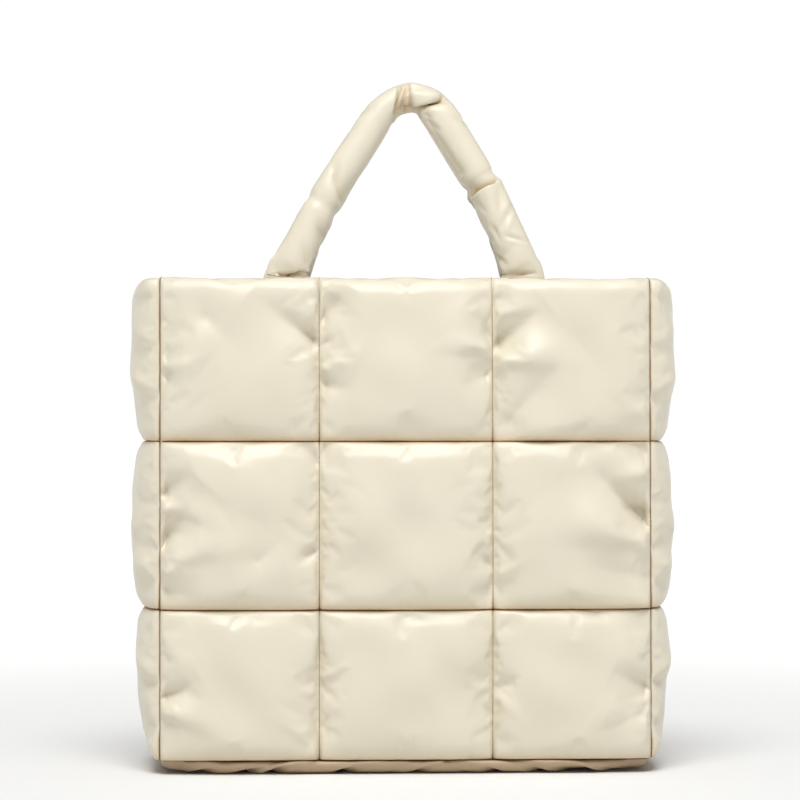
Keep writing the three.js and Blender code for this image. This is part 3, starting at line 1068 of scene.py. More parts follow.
    def puckers(self, across: Lines, up: Lines) -> list[Fold]:
        """Draws small folds that the thread pulls into the skin along the seams of each pad.

        Args:
            across: The lines across.
            up: The lines up.

        Returns:
            The folds: along each pad's left, right and bottom seam, and its top one if it isn't at the rim.
        """
        chance = np.random.default_rng(self.seed)
        found = []
        for column, row in np.ndindex(len(across.ends) - 1, len(up.ends) - 1):
            wide = across.ends[column + 1] - across.ends[column]
            tall = up.ends[row + 1] - up.ends[row]
            for edge in range(4 if row < len(up.ends) - 2 else 3):
                length, deep = (tall, wide) if edge < 2 else (wide, tall)
                count = round(length / self.pucker_step)
                for number in range(count):
                    share = (number + chance.uniform(0.1, 0.9)) / count
                    run = chance.uniform(*self.pucker_runs)
                    lean = chance.uniform(-self.pucker_lean, self.pucker_lean)
                    press = chance.uniform(0.0, self.pucker_depth) * chance.uniform(0.3, 1)
                    width = chance.uniform(*self.pucker_widths)
                    near, far = (0.0, run / deep) if edge % 2 == 0 else (1.0, 1 - run / deep)
                    start, end = (near, share), (far, share + lean * run / length)
                    if edge >= 2:
                        start, end = start[::-1], end[::-1]
                    ridge = math.copysign(self.pucker_ridge, lean)
                    press *= self.pucker_shares[edge]
                    found.append(Fold(column, row, *start, *end, press, width, ridge))
        return found

    def creased(self, points: Array, across: Lines, up: Lines) -> Array:
        """Presses the folds into the filled skin, more weakly close to the seams and over the rim.

        Args:
            points: The skin's corners, row by row.
            across: The lines across.
            up: The lines up.

        Returns:
            The corners with the folds in them.
        """
        depth = np.zeros(points.shape[:2])
        for fold in (*self.folds, *self.puckers(across, up)):
            depth += self.pressed(fold, across, up)
        level = up.beside(up.seams)[:, None]
        edges = np.minimum(across.beside(across.ends)[None, :], level)
        depth += self.ripples(across, up) * ramp(edges, 0, 0.012)
        depth *= ramp(edges, 0, 0.006) ** 0.8 * np.clip(2 * np.cos(up.turn), 0, 1)[:, None]
        depth *= ramp(level, 0.002, 0.006)
        pressed = points.copy()
        pressed[..., 1 - self.seam_line()] -= self.facing.value * depth
        return pressed

    def ripples(self, across: Lines, up: Lines) -> Array:
        """Adds up the slow waves of a hand-filled pad.

        Args:
            across: The lines across.
            up: The lines up.

        Returns:
            Their depth for each row and column, in metres.
        """
        chance = np.random.default_rng(self.seed + 7)
        waves = np.zeros((len(up.run), len(across.run)))
        for _ in range(self.ripple_count):
            length, angle = chance.uniform(*self.ripple_lengths), chance.uniform(0, math.pi)
            phase = chance.uniform(0, 6.28)
            along = across.run[None, :] * math.cos(angle) + up.run[:, None] * math.sin(angle)
            waves += np.sin(2 * math.pi * along / length + phase) * length / self.ripple_lengths[1]
        return self.ripple * waves / 3.0

    def pressed(self, fold: Fold, across: Lines, up: Lines) -> Array:
        """Works out how deep one fold presses into the skin.

        Args:
            fold: The fold.
            across: The lines across.
            up: The lines up.

        Returns:
            The depth for each row and column, in metres: a groove that widens and fades along the
            fold, less the roll beside it.
        """
        left, right = across.ends[fold.column], across.ends[fold.column + 1]
        bottom, top = up.ends[fold.row], up.ends[fold.row + 1]
        under_rim = fold.row == len(up.ends) - 2
        if under_rim:
            top = self.sizes.rim
        start = np.array((mix(left, right, fold.across), mix(bottom, top, fold.up)))
        end = np.array((mix(left, right, fold.to_across), mix(bottom, top, fold.to_up)))
        run = end - start
        length = float(np.hypot(*run))
        margin = self.fold_margin * fold.width
        low = np.maximum((left, bottom), np.minimum(start, end) - margin)
        high = np.minimum((right, NO_LIMIT if under_rim else top), np.maximum(start, end) + margin)
        columns = np.flatnonzero((across.run > low[0]) & (across.run < high[0]))
        rows = np.flatnonzero((up.run > low[1]) & (up.run < high[1]))
        depth = np.zeros((len(up.run), len(across.run)))
        x = across.run[columns][None, :] - start[0]
        z = up.run[rows][:, None] - start[1]
        along = np.clip((x * run[0] + z * run[1]) / length**2, 0, 1)
        width = fold.width * (self.fold_start + self.fold_widening * along)
        off = np.hypot(x - along * run[0], z - along * run[1]) / width
        side = (run[0] * z - run[1] * x) / length / width
        fade = (1 - along) ** 0.8 * (1 - 0.15 * along)
        groove = np.exp(-np.sqrt(off**2 + 0.04) * self.groove_slope) * self.groove_gain
        lip = np.exp(-((side - math.copysign(self.lip_place, fold.ridge)) ** 2))
        lip *= np.exp(-np.maximum(0, off - self.lip_reach) ** 2)
        raised = abs(fold.ridge) * min(1.0, self.lip_cap / fold.depth)
        depth[np.ix_(rows, columns)] = fold.depth * self.fold_gain * fade * (groove - raised * lip)
        return depth

    # Sets where the leather's painted shade and painted seam shadow fall.
    def seam_shade(self, across: Lines, up: Lines) -> Array:
        """The distance from the nearest seam as the eye reads it, in metres.

        Args:
            across: The lines across.
            up: The lines up.

        Returns:
            The distance for each row and column. Inside a level slit it grows slowly, on a pad's underside
            it grows as it is, and on a pad's top fast, so that the painted shade spreads furthest in a slit.
            On an upright seam it is below 0, and beside one it grows at once, so that only a fine dark line
            of painted shadow shows there.
        """
        beside = across.beside(across.ends)
        upright = beside * np.clip(beside / self.line_width, 1, self.line_contrast) - self.line_depth
        over = up.run[:, None] - np.array(up.seams)
        past = np.maximum(0, np.abs(over) - self.slit_depth)
        level = self.slit_growth * np.abs(over) + past * np.where(over >= 0, *self.pad_growths)
        return np.minimum(upright[None, :], level.min(axis=1)[:, None])

    def flipped(self) -> bool:
        """Whether the grid's faces have to be turned round to point outwards."""
        return self.facing.value > 0


@dataclass
class Gusset(QuiltedPanel):
    """A side strip of three pads that joins the front and back panels."""

    puff: float = 0.0112
    valley: float = 0.0
    ripple: float = 0.0005
    level_squareness: float = 3.4
    foot_roundness: float = 2.1
    rim_extra: float = 0.0065

    def upright_seams(self) -> tuple[float, ...]:
        """Where the gusset's two corner seams lie at its bottom, from front to back."""
        half = float(self.sizes.half_depth(self.sizes.bottom_seam))
        return -half, half

    def place(self, across: Lines, up: Lines, offset: Array) -> Array:
        """Where corners lie that stand a distance off the middle of the gusset.

        Args:
            across: The lines across.
            up: The lines up.
            offset: The distance for each row and column, outwards positive.

        Returns:
            The corners, row by row.
        """
        sizes = self.sizes
        height = np.broadcast_to(up.at[:, None], offset.shape)
        share = np.broadcast_to(across.at[None, :] / across.ends[-1], offset.shape)
        half = sizes.half_depth(height) + self.corner_depth(up)[:, None]
        y = self.mitred(share * half, -half, half, offset)
        x = self.facing.value * (sizes.half_width + sizes.bowed(sizes.gusset_bow, share, height) + offset)
        return np.stack([x, y, self.lifted(height, offset[:1])], axis=2)

    def corner_depth(self, up: Lines) -> Array:
        """How far the wide panels' stuffed corner seams stand out in front of their places.

        Args:
            up: The lines up.

        Returns:
            The distance at each line, in metres.
        """
        wide = QuiltedPanel
        full = self.swell(self.open_share(up) ** self.droop, wide.level_squareness)
        return wide.puff * wide.valley * full * np.maximum(0, np.cos(up.turn))

    def swell_up(self, up: Lines) -> Array:
        """How full each row is.

        Args:
            up: The lines up.

        Returns:
            The share at each line. The lowest pad tapers to a round foot and the top one is full at the rim.
        """
        full = super().swell_up(up)
        foot = (up.pads() == 0) & (up.share < 0.5)
        full = np.where(foot, np.minimum(full, self.swell(up.share, self.foot_roundness)), full)
        return full + np.where(up.last(), self.rim_extra / self.puff * up.share, 0)

    def cornered(self, points: Array, outside: Array) -> Array:
        """Keeps the pads clear of the front and back panels.

        Args:
            points: The skin's corners, row by row.
            outside: True for each row that lies outside the rim.

        Returns:
            The same corners, moved.
        """
        sizes = self.sizes
        away = points[..., 0] * self.facing.value
        behind = np.abs(points[..., 1]) > sizes.half_depth(points[..., 2]) + sizes.seam_half
        kept = np.where(outside & behind, np.maximum(away, sizes.half_width + sizes.seam_half), away)
        points[..., 0] = kept * self.facing.value
        return points

    def seam_line(self) -> int:
        """The axis that the gusset's upright seams are spaced along."""
        return 1

    def reach(self, points: Array) -> Array:
        """How far each corner stands off the middle of the gusset.

        Args:
            points: The skin's corners, row by row.

        Returns:
            The distance for each corner, in metres.
        """
        sizes, z = self.sizes, points[..., 2]
        share = points[..., 1] / sizes.half_depth(z)
        return np.abs(points[..., 0]) - sizes.half_width - sizes.bowed(sizes.gusset_bow, share, z)

    def flipped(self) -> bool:
        """Whether the grid's faces have to be turned round to point outwards."""
        return self.facing.value < 0


@dataclass
class BasePanel(QuiltedPanel):
    """The padded bottom: flat on the floor, with a gathered roll along its edges.

    turns are shares of the way over the roll. For each of them, outs is how far the roll stands out,
    heights its height, rounding the radius of its corners and under how far it has turned in.
    """

    fill: float = 0.6
    spacing: float = 0.0018
    roll: float = 0.026
    bulge: float = 0.0122
    end_bulge: float = 0.0020
    lift: float = 0.0045
    gather_step: float = 0.017
    crinkle_step: float = 0.006
    lining_puff: float = 0.004
    # Painted shade over the roll: warm painted shade with some dark painted shadow.
    edge_shade_mm: float = 0.57
    turns: tuple[float, ...] = (0.0, 0.10, 0.20, 0.32, 0.45, 0.60, 0.76, 0.90, 1.0)
    outs: tuple[float, ...] = (0.0, 0.45, 0.80, 0.97, 1.00, 0.94, 0.72, 0.38, 0.0)
    heights: tuple[float, ...] = (0.0095, 0.0098, 0.0100, 0.0092, 0.0068, 0.0038, 0.0012, 0.0002, 0.0)
    rounding: tuple[float, ...] = (0.0006, 0.004, 0.007, 0.009, 0.010, 0.010, 0.010, 0.010, 0.010)
    under: tuple[float, ...] = (0.0, 0.0, 0.0, 0.0, 0.0003, 0.0012, 0.0028, 0.0045, 0.006)

    def lines(self, spacing: float, drawn: bool) -> tuple[Lines, Lines]:
        """The grid lines along and across the base."""
        halves = self.sizes.half_width, float(self.sizes.half_depth(self.sizes.bottom_seam))
        return tuple(Lines.between((-half, half), spacing, self.upright_draw * drawn) for half in halves)

    def inside(self, across: Lines, up: Lines) -> Array:
        """The padded lining.

        Args:
            across: The lines along the base.
            up: The lines across it.

        Returns:
            The corners, row by row.
        """
        sizes = self.sizes
        crown = (4 * up.share * (1 - up.share))[:, None] * (4 * across.share * (1 - across.share))[None, :]
        inset = sizes.seam_half + sizes.mitre_inset
        x = np.broadcast_to(across.at * (1 - inset / across.at[-1]), crown.shape)
        y = np.broadcast_to(up.at[:, None] * (1 - inset / up.at[-1]), crown.shape)
        return np.stack([x, y, sizes.bottom_seam + sizes.seam_half + self.lining_puff * crown], axis=2)

    def rolled(self, lines: Lines) -> tuple[Array, Array, Array]:
        """Where lines lie that run over the roll along an edge and then across the floor.

        Args:
            lines: The lines in one direction.

        Returns:
            How far each has gone over the roll from 0 to 1, its place on the floor, and how far it
            lies from the edge.
        """
        half = lines.at[-1]
        reach = half - np.abs(lines.at)
        floor = half + self.sizes.seam_half - (self.rounding[-1] + self.under[-1])
        floor = floor * np.minimum(1, np.abs(lines.at) / (half - self.roll))
        return np.clip(reach / self.roll, 0, 1), floor, reach

    def gathers(self, across: Lines, up: Lines) -> Array:
        """The uneven fullness of the roll, in folds that run over it at a slant.

        Args:
            across: The lines along the base.
            up: The lines across it.

        Returns:
            The fullness for each row and column, about -1 to 1.
        """
        x, y = across.at[None, :], up.at[:, None]
        to_end, to_side = across.at[-1] - np.abs(x), up.at[-1] - np.abs(y)
        around = np.where(to_end < to_side, y + 2.0, x)
        reach = np.minimum(np.minimum(to_end, to_side), self.roll)
        slant = around + 1.3 * reach * np.sign(wander(around, 0.11, self.seed))
        gathered = wander(slant, self.gather_step, self.seed + 1)
        crinkled = 0.45 * wander(slant, self.crinkle_step, self.seed + 2)
        return gathered + crinkled * (0.15 + 0.85 * np.exp(-(to_end / 0.03) ** 2))

    def underside(self, across: Lines, up: Lines) -> Array:
        """The corners of the outside, which rolls out under the wall pads and then in to the floor.

        Args:
            across: The lines along the base.
            up: The lines across it.

        Returns:
            The corners, row by row.
        """
        over_x, floor_x, reach_x = self.rolled(across)
        over_y, floor_y, reach_y = self.rolled(up)
        over_x, over_y = over_x[None, :], over_y[:, None]
        over = np.minimum(over_x, over_y)
        turn = math.pi / 4 * (1 + (over_x - over_y) / np.maximum(1 - over, 1e-9))
        out, height, rounding, inset = (
            np.interp(over, self.turns, row) for row in (self.outs, self.heights, self.rounding, self.under)
        )
        folds = self.gathers(across, up)
        swell = self.bulge * (1 + 0.16 * folds) * out
        fade_x = (ramp(reach_x, self.roll, 0.022) ** 0.6)[None, :]
        fade_y = (ramp(reach_y, self.roll, 0.015) ** 0.6)[:, None]
        seam = self.sizes.seam_half
        x = across.at[-1] + seam - inset - rounding * (1 - np.cos(turn))
        y = up.at[-1] + seam - inset - rounding * (1 - np.sin(turn))
        x = np.where(over_x < 1, x + self.end_bulge / self.bulge * swell * fade_y, floor_x[None, :])
        y = np.where(over_y < 1, y + swell * fade_x, floor_y[:, None])
        near = np.exp(-(reach_x[None, :] / 0.04) ** 2)
        rumple = np.sin(math.pi * over) * self.lift * (0.22 + 0.25 * near) * folds
        arch = np.maximum(0, np.abs(folds) - 0.35) * 1.5 + 0.3 * near
        lifted = self.lift * arch * ramp(over, 0.45, 0.3) * np.clip((1.9 - over) / 0.9, 0, 1)
        lifted *= np.exp(-self.past_roll(across, up) / 0.006)
        height = np.maximum(0, height + np.minimum(rumple, 0.0006) + lifted)
        return np.stack([x * np.sign(across.at[None, :]), y * np.sign(up.at[:, None]), height], axis=2)

    def past_roll(self, across: Lines, up: Lines) -> Array:
        """How far each corner lies in from the roll along the nearest edge, in metres."""
        reach = np.minimum(across.at[-1] - np.abs(across.at[None, :]), up.at[-1] - np.abs(up.at[:, None]))
        return np.maximum(0, reach - self.roll)

    def build(self) -> bpy.types.Object:
        """Builds the base without a simulation, because the floor holds it flat.

        Returns:
            The finished piece.
        """
        across, up = self.lines(self.spacing, False)
        # Painted shade: the whole roll takes the warm painted shade and some dark painted shadow, fading out
        # past the roll.
        shade = self.edge_shade_mm + 60 * self.past_roll(across, up)
        inner = self.inside(*self.lines(self.lining_spacing, False))
        return self.closed(self.underside(across, up), inner, shade, True)


@dataclass(frozen=True)
class HandleSection:
    """One section of a handle: its place, and its width and thickness as shares of the diameter."""

    across: float
    rise: float
    width: float
    thickness: float


SECTIONS = tuple(
    HandleSection(*row)
    for row in (
        (-1.000, -1.000, 1.35, 0.20),
        (-1.000, -0.150, 1.40, 0.20),
        (-0.990, 0.020, 1.28, 0.44),
        (-0.950, 0.090, 1.15, 0.80),
        (-0.856, 0.221, 1.00, 0.96),
        (-0.750, 0.355, 0.98, 1.00),
        (-0.705, 0.405, 0.87, 0.92),
        (-0.655, 0.460, 0.98, 1.00),
        (-0.541, 0.579, 0.95, 1.00),
        (-0.360, 0.757, 0.96, 1.00),
        (-0.229, 0.890, 0.90, 0.97),
        (-0.100, 0.973, 0.82, 0.94),
        (0.038, 1.006, 0.86, 0.90),
        (0.140, 1.000, 0.84, 0.94),
        (0.225, 0.970, 0.96, 0.98),
        (0.305, 0.910, 1.04, 1.00),
        (0.410, 0.800, 1.03, 1.00),
        (0.600, 0.600, 1.00, 0.98),
        (0.650, 0.550, 0.86, 0.92),
        (0.690, 0.505, 1.06, 1.00),
        (0.739, 0.444, 1.01, 1.00),
        (0.894, 0.221, 1.02, 0.96),
        (0.968, 0.090, 1.12, 0.80),
        (1.000, 0.020, 1.24, 0.44),
        (1.000, -0.150, 1.40, 0.20),
        (1.000, -1.000, 1.35, 0.20),
    )
)


@dataclass(frozen=True)
class Crease:
    """A crease pressed into the side of a handle that looks away from the bag.

    It runs between two points of the handle's front view, in shares of half the spacing and of the
    rise. soft is the width of its gentle side, on the left of its direction, and steep that of the
    other side, which stands up as a lip and leans over the crease by tuck. keep is the share of its
    depth that is left at its end.
    """

    across: float
    rise: float
    to_across: float
    to_rise: float
    depth: float
    soft: float
    steep: float
    keep: float = 0.2
    tuck: float = 0.0


FRONT_CREASES = (
    Crease(0.525, 0.440, 0.790, 0.541, 0.0110, 0.0075, 0.0012, 0.35, 0.0030),
    Crease(0.585, 0.426, 0.690, 0.370, 0.0022, 0.0040, 0.0040),
    Crease(-0.520, 0.410, -0.600, 0.545, 0.0032, 0.0020, 0.0120, 0.6),
    Crease(-0.670, 0.225, -0.790, 0.300, 0.0026, 0.0040, 0.0060),
    Crease(-0.830, 0.090, -0.900, 0.200, 0.0022, 0.0040, 0.0060),
    Crease(-0.860, 0.035, -1.110, 0.030, 0.0070, 0.0035, 0.0012, 0.9, 0.0016),
    Crease(0.455, 0.590, 0.200, 0.870, 0.0030, 0.0060, 0.0040, 0.5),
    Crease(-0.070, 0.915, -0.042, 1.085, 0.0065, 0.0012, 0.0065, 0.9, 0.0016),
    Crease(0.002, 0.905, 0.014, 1.085, 0.0040, 0.0018, 0.0024, 0.9),
    Crease(0.060, 0.925, 0.040, 1.085, 0.0050, 0.0028, 0.0016, 0.6),
    Crease(0.385, 1.032, 0.035, 0.925, 0.0110, 0.0042, 0.0016, 0.9, 0.0026),
    Crease(0.805, 0.120, 0.900, 0.180, 0.0022, 0.0040, 0.0060),
    Crease(0.880, 0.030, 1.110, 0.040, 0.0040, 0.0016, 0.0040, 0.8),
)
BACK_CREASES = (
    Crease(-0.430, 0.560, -0.640, 0.640, 0.0060, 0.0016, 0.0070, 0.3),
    Crease(0.280, 0.850, 0.470, 0.930, 0.0060, 0.0070, 0.0016, 0.3),
    Crease(0.700, 0.240, 0.880, 0.330, 0.0050, 0.0060, 0.0018, 0.3),
    Crease(-0.740, 0.200, -0.900, 0.280, 0.0040, 0.0020, 0.0060, 0.3),
    Crease(-0.860, 0.030, -1.110, 0.030, 0.0045, 0.0035, 0.0016, 0.9),
    Crease(0.860, 0.030, 1.110, 0.030, 0.0045, 0.0016, 0.0035, 0.9),
)


# What sets the back handle apart: it is a little wider and leans, so that the front one hides it.
BACK_HANDLE = {"scale": 1.025, "tab_depth": 0.0399, "lean": 0.0034, "seed": 19}


@dataclass
class Handle:
    """A stuffed tube that is sewn to the inside of the rim by flat tabs and leans in towards its twin."""

    sizes: BagSizes
    material: bpy.types.Material
    name: str
    node: str
    facing: Facing
    creases: tuple[Crease, ...]
    stitching: Stitching
    scale: float = 1.0
    diameter: float = 0.027
    spacing: float = 0.180
    rise: float = 0.140
    top_clearance: float = 0.006
    tab_length: float = 0.030
    tab_depth: float = 0.0401
    lean: float = 0.0
    fill: float = 0.8
    rounds: int = 88
    steps: int = 460
    seed: int = 7
    wrinkles: int = 46
    wrinkle_lengths: tuple[float, float] = (0.010, 0.032)
    wrinkle_depths: tuple[float, float] = (0.0003, 0.0012)
    wrinkle_widths: tuple[float, float] = (0.0016, 0.0040)
    deepest: float = 0.75
    # Painted shade in creases: crease_mm where a crease presses deepest, open_mm more where the tube is
    # untouched.
    crease_mm: float = 0.4
    open_mm: float = 16.0
    box_reach: float = 0.6
    box_span: tuple[float, float] = (-0.88, -0.26)
    box_steps: int = 24
    thread_lift: float = 0.0002

    def centre(self, across: Array, rise: Array) -> Array:
        """Finds places on the tube's middle line, or in its plane.

        Args:
            across: Shares of half the spacing, from the middle.
            rise: Shares of the rise, or of the tab's length where they are negative.

        Returns:
            A place for each pair of shares.
        """
        height = self.sizes.rim + rise * np.where(rise < 0, self.tab_length, self.rise * self.scale)
        top = (self.diameter + self.top_clearance) / 2
        depth = mix(self.tab_depth, top, np.maximum(0, rise))
        x = across * self.spacing / 2 * self.scale + self.lean * (1 - 0.6 * np.clip(rise, 0, 1))
        return np.stack([x, self.facing.value * depth, height], axis=-1)

    def curve(self, share: Array) -> Array:
        """Reads the table of sections on a smooth curve.

        Args:
            share: Shares of the way along the handle.

        Returns:
            A row of the table's four values for each share.
        """
        table = np.array([(s.across, s.rise, s.width, s.thickness) for s in SECTIONS])
        padded = np.concatenate([2 * table[:1] - table[1:2], table, 2 * table[-1:] - table[-2:-1]])
        place = share * (len(table) - 1)
        low = np.minimum(place.astype(int), len(table) - 2)
        part = (place - low)[:, None]
        a, b, c, d = (padded[low + i] for i in range(4))
        return b + 0.5 * part * (c - a + part * (2 * a - 5 * b + 4 * c - d + part * (3 * (b - c) + d - a)))

    def build(self) -> bpy.types.Object:
        """Builds the tube with its creases, and closes its two tabs.

        Returns:
            The finished piece.
        """
        share = np.linspace(0, 1, self.steps + 1)
        values = self.curve(share)
        middle = self.centre(values[:, 0], values[:, 1])
        along = np.gradient(middle, axis=0)
        along /= np.linalg.norm(along, axis=1, keepdims=True)
        wide = np.cross(along, (0, 1, 0))
        wide /= np.linalg.norm(wide, axis=1, keepdims=True)
        thick = np.cross(wide, along)
        angle = 2 * math.pi * np.arange(self.rounds) / self.rounds
        half = self.diameter / 2
        side = half * values[:, 2:3] * np.cos(angle)
        deep = half * values[:, 3:4] * np.sin(angle)
        points = middle[:, None] + side[..., None] * wide[:, None] + deep[..., None] * thick[:, None]
        out = points - middle[:, None]
        radius = np.linalg.norm(out, axis=2)
        out /= radius[..., None]
        run = np.append(0, np.cumsum(np.linalg.norm(np.diff(middle, axis=0), axis=1)))
        creases, shift = self.creased(points, out)
        pressed = creases + self.wrinkled(run, angle)
        pressed *= ramp(values[:, 1:2], -0.15, 0.2)
        pressed = np.minimum(pressed, self.deepest * radius)
        points += shift - out * pressed[..., None]
        rows, columns = points.shape[:2]
        corners = np.concatenate([points.reshape(-1, 3), middle[:1], middle[-1:]])
        numbers = np.arange(rows * columns).reshape(rows, columns)
        ring = np.roll(numbers, -1, axis=1)
        faces = np.stack([numbers[:-1], numbers[1:], ring[1:], ring[:-1]], axis=2).reshape(-1, 4).tolist()
        faces += [(rows * columns, int(a), int(b)) for a, b in zip(numbers[0], ring[0])]
        faces += [(rows * columns + 1, int(b), int(a)) for a, b in zip(numbers[-1], ring[-1])]
        piece = mesh_piece(self.name, corners, faces, self.material)
        # Painted shade: the deeper a crease presses in, the more warm painted shade and, at its bottom, dark
        # painted shadow.
        shade = self.crease_mm + self.open_mm * (1 - np.clip(pressed / (0.6 * radius), 0, 1)) ** 1.15
        add_value(piece, "painted_shade_mm", np.append(shade.ravel(), [NO_SEAM_MM] * 2))
        hand_over(piece, self.node)
        self.stitching.sew(f"{self.name}_stitches", "handles", [self.box_seam(side) for side in (-1, 1)])
        return piece

    def box_seam(self, side: int) -> Array:
        """The box of stitches that holds one tab, with its diagonals, on the tab's inner face.

        Args:
            side: -1 for the left tab and 1 for the right one.

        Returns:
            The thread's path as a row of places.
        """
        half = SECTIONS[0].width * self.diameter / 2
        low, high = self.box_span
        corners = ((-1, low), (1, low), (1, high), (-1, high), (-1, low), (1, high), (-1, high), (1, low))
        step = np.linspace(0, 1, self.box_steps)[:, None]
        path = [mix(np.array(start), np.array(end), step) for start, end in zip(corners, corners[1:])]
        across, up = (np.concatenate(path) * (self.box_reach * half, self.tab_length)).T
        thick = SECTIONS[0].thickness * self.diameter / 2 * np.sqrt(1 - (across / half) ** 2)
        x = side * self.spacing / 2 * self.scale + self.lean + across
        y = self.facing.value * (self.tab_depth - thick - self.thread_lift)
        return np.stack([x, y, self.sizes.rim + up], axis=1)

    def creased(self, points: Array, out: Array) -> tuple[Array, Array]:
        """Works out what the handle's own creases do to each corner.

        Args:
            points: The tube's corners.
            out: The direction out of the tube at each.

        Returns:
            How deep each corner is pressed in, and the shift of the lips that lean over the creases.
        """
        depth, shift = np.zeros(points.shape[:2]), np.zeros(points.shape)
        flat = points[..., (0, 2)]
        seen = np.clip(0.35 + out[..., 1] * self.facing.value * 1.1, 0, 1)
        for crease in self.creases:
            across, rise = np.array([(crease.across, crease.rise), (crease.to_across, crease.to_rise)]).T
            start, end = self.centre(across, rise)[:, (0, 2)]
            run = end - start
            part = np.clip(((flat - start) @ run) / (run @ run), 0, 1)
            beside = flat - start - part[..., None] * run
            away = np.linalg.norm(beside, axis=2)
            left = (run[0] * beside[..., 1] - run[1] * beside[..., 0]) > 0
            width = np.where(left, crease.soft, crease.steep) * (1 - 0.5 * part)
            depth += crease.depth * mix(1, crease.keep, part) * np.exp(-((away / width) ** 1.25)) * seen
            lip = np.where(left, 0, np.clip(away / 0.0015, 0, 1) * np.exp(-((away / 0.007) ** 2)))
            lip *= crease.tuck * seen * np.sin(math.pi * np.clip(mix(0.12, 0.95, part), 0, 1))
            shift[..., (0, 2)] -= beside / np.maximum(away, 1e-6)[..., None] * lip[..., None]
        return depth, shift

    def wrinkled(self, run: Array, angle: Array) -> Array:
        """Draws small chance wrinkles.

        Args:
            run: How far along the handle each ring of corners lies, in metres.
            angle: The angle round the tube of each corner of a ring.

        Returns:
            How deep they press each corner in, in metres.
        """
        chance = np.random.default_rng(self.seed)
        depth = np.zeros((len(run), len(angle)))
        half = self.diameter / 2
        for _ in range(self.wrinkles):
            place, turn = chance.uniform(0.03, run[-1] - 0.03), chance.uniform(0, 2 * math.pi)
            lean, length = chance.uniform(-1.3, 1.3), chance.uniform(*self.wrinkle_lengths)
            high, width = chance.uniform(*self.wrinkle_depths), chance.uniform(*self.wrinkle_widths)
            x = run[:, None] - place
            y = (np.mod(angle - turn + math.pi, 2 * math.pi) - math.pi)[None, :] * half
            part = np.clip((x * math.cos(lean) + y * math.sin(lean)) / length, -0.5, 0.5)
            off = np.hypot(x - part * length * math.cos(lean), y - part * length * math.sin(lean)) / width
            groove = 1.4 * np.exp(-(off**1.3)) - 0.5 * np.exp(-((off - 2) ** 2))
            depth += high * (1 - 3.6 * part**2) * groove
        return depth


@dataclass(frozen=True)
class Camera:
    """A camera level with the bag and a little to its left, on a long lens.

    seen is how wide the picture is at the distance of the focus.
    """

    distance: float = 2.455
    height: float = 0.283
    yaw_deg: float = 2.7
    aside: float = 0.0019
    sensor_mm: float = 36.0
    focus: float = 2.4
    seen: float = 0.608

    def build(self) -> None:
        """Puts the camera in its place."""
        yaw = math.radians(self.yaw_deg)
        camera = linked("camera", bpy.data.cameras.new("camera"))
        camera.data.sensor_width = self.sensor_mm
        camera.data.lens = self.sensor_mm * self.focus / self.seen
        camera.location = (
            -self.distance * math.sin(yaw) - self.aside * math.cos(yaw),
            -self.distance * math.cos(yaw) + self.aside * math.sin(yaw),
            self.height,
        )
        camera.rotation_euler = (math.pi / 2, 0, -yaw)
        bpy.context.scene.camera = camera


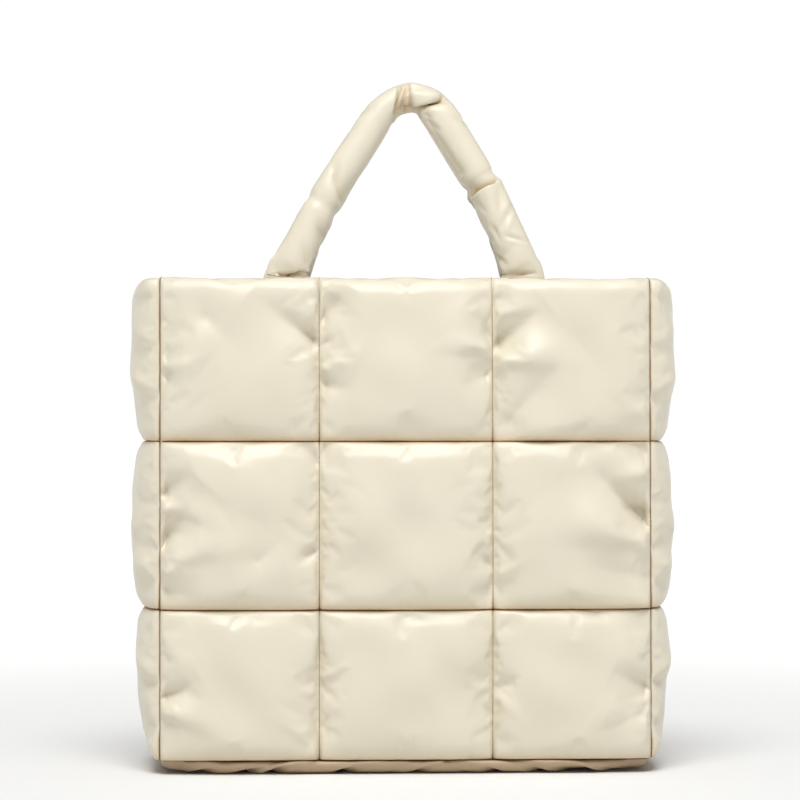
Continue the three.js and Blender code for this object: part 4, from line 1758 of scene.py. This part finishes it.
@dataclass(frozen=True)
class Studio:
    """A pale floor in a white room, with a wide overhead bank and a soft box above the camera's left."""

    backdrop: float = 1.02
    backdrop_top: float = 0.15
    walls: float = 0.06
    walls_middle: float = 0.32
    ceiling: float = 0.62
    bank_strength: float = 2.28
    bank_spread_deg: float = 36.0
    bank_height_deg: float = 64.0
    bank_side_deg: float = 6.0
    key_watts: float = 3.0
    key_place: tuple[float, float, float] = (0.10, -0.80, 1.40)
    key_size: tuple[float, float] = (1.1, 0.8)
    floor: str = "#E6E6E5"
    floor_glow: float = 0.22
    glow_range: tuple[float, float] = (0.3, 1.5)
    floor_reach: float = 30.0
    aim: tuple[float, float, float] = (0.0, 0.0, 0.28)

    def build(self) -> None:
        """Lights the scene and lays the floor."""
        bpy.context.scene.view_settings.view_transform = "Standard"
        self.build_room()
        self.build_bank()
        self.build_key()
        self.build_floor()

    def build_room(self) -> None:
        """A room that is white along the horizon, darker on its walls and lit again overhead."""
        world = bpy.data.worlds.new("white_room")
        tree = cleared_tree(world)
        direction = add_node(tree, "ShaderNodeTexCoord").outputs["Generated"]
        up = add_node(tree, "ShaderNodeSeparateXYZ", Vector=direction).outputs["Z"]
        gradient = add_node(tree, "ShaderNodeValToRGB", Fac=up)
        gradient.color_ramp.interpolation = "EASE"
        stops = gradient.color_ramp.elements
        levels = (
            (0.0, self.backdrop),
            (1.0, self.ceiling),
            (self.backdrop_top, self.backdrop),
            (self.walls_middle, self.walls),
        )
        for number, (place, level) in enumerate(levels):
            stop = stops[number] if number < 2 else stops.new(place)
            stop.color = (level, level, level, 1)
        back = add_node(tree, "ShaderNodeBackground", Color=gradient.outputs["Color"], Strength=1.0)
        add_node(tree, "ShaderNodeOutputWorld", Surface=back.outputs["Background"])
        bpy.context.scene.world = world

    def build_bank(self) -> None:
        """The overhead bank: far off and wide, so that it lights the whole floor evenly."""
        bank = linked("light_bank", bpy.data.lights.new("light_bank", "SUN"))
        bank.data.energy = self.bank_strength
        bank.data.angle = math.radians(self.bank_spread_deg)
        bank.rotation_euler = (math.radians(90 - self.bank_height_deg), 0, -math.radians(self.bank_side_deg))

    def build_key(self) -> None:
        """The soft box, aimed at the middle of the bag."""
        light = linked("soft_box", bpy.data.lights.new("soft_box", "AREA"))
        light.data.shape = "RECTANGLE"
        light.data.size, light.data.size_y = self.key_size
        light.data.energy = self.key_watts
        light.location = self.key_place
        towards = Vector(self.aim) - light.location
        light.rotation_euler = towards.to_track_quat("-Z", "Y").to_euler()

    def build_floor(self) -> None:
        """A wide sheet of matt paper at the height of the bag's base, lit to plain white further out."""
        paper = bpy.data.materials.new("matt_white_paper")
        tree = cleared_tree(paper)
        place = add_node(tree, "ShaderNodeTexCoord").outputs["Object"]
        away = add_node(tree, "ShaderNodeVectorMath", {"operation": "LENGTH"}, i0=place).outputs["Value"]
        near, far = self.glow_range
        glow = add_node(
            tree, "ShaderNodeMapRange", {"interpolation_type": "SMOOTHSTEP"},
            Value=away, From_Min=near, From_Max=far, To_Min=0.0, To_Max=self.floor_glow,
        )
        shader = add_node(
            tree, "ShaderNodeBsdfPrincipled", Base_Color=linear(self.floor), Roughness=0.9,
            Emission_Color=(1, 1, 1, 1), Emission_Strength=glow.outputs["Result"],
        )
        add_node(tree, "ShaderNodeOutputMaterial", Surface=shader.outputs["BSDF"])
        corners = self.floor_reach * np.array([(-1, -1, 0), (1, -1, 0), (1, 1, 0), (-1, 1, 0)])
        mesh_piece("floor", corners, [(0, 1, 2, 3)], paper)


def main() -> None:
    """Builds the bag piece by piece and reports each."""
    logging.basicConfig(level=logging.INFO, format="%(name)s %(message)s")
    Camera().build()
    Studio().build()
    sizes = BagSizes()
    leather = FauxLeather().build()
    stitching = Stitching(Thread().build())
    back_folds = tuple(fold.mirrored(3) for fold in FRONT_FOLDS)
    for kind, node, facing, folds, seed in (
        (QuiltedPanel, "front_panel", Facing.FRONT, FRONT_FOLDS, 1),
        (QuiltedPanel, "back_panel", Facing.BACK, back_folds, 500),
        (Gusset, "left_gusset", Facing.LEFT, GUSSET_FOLDS, 900),
        (Gusset, "right_gusset", Facing.RIGHT, GUSSET_FOLDS, 1300),
    ):
        name = f"{node.removesuffix('_panel')}_quilt"
        kind(sizes, leather, name, node, facing, folds, seed, stitching).build()
    BasePanel(sizes, leather, "base_quilt", "base_panel", Facing.FRONT, seed=1700).build()
    for node, facing, creases, changes in (
        ("front_handle", Facing.FRONT, FRONT_CREASES, {}),
        ("back_handle", Facing.BACK, BACK_CREASES, BACK_HANDLE),
    ):
        Handle(sizes, leather, f"{node}_tube", node, facing, creases, stitching, **changes).build()


if __name__ == "__main__":
    main()
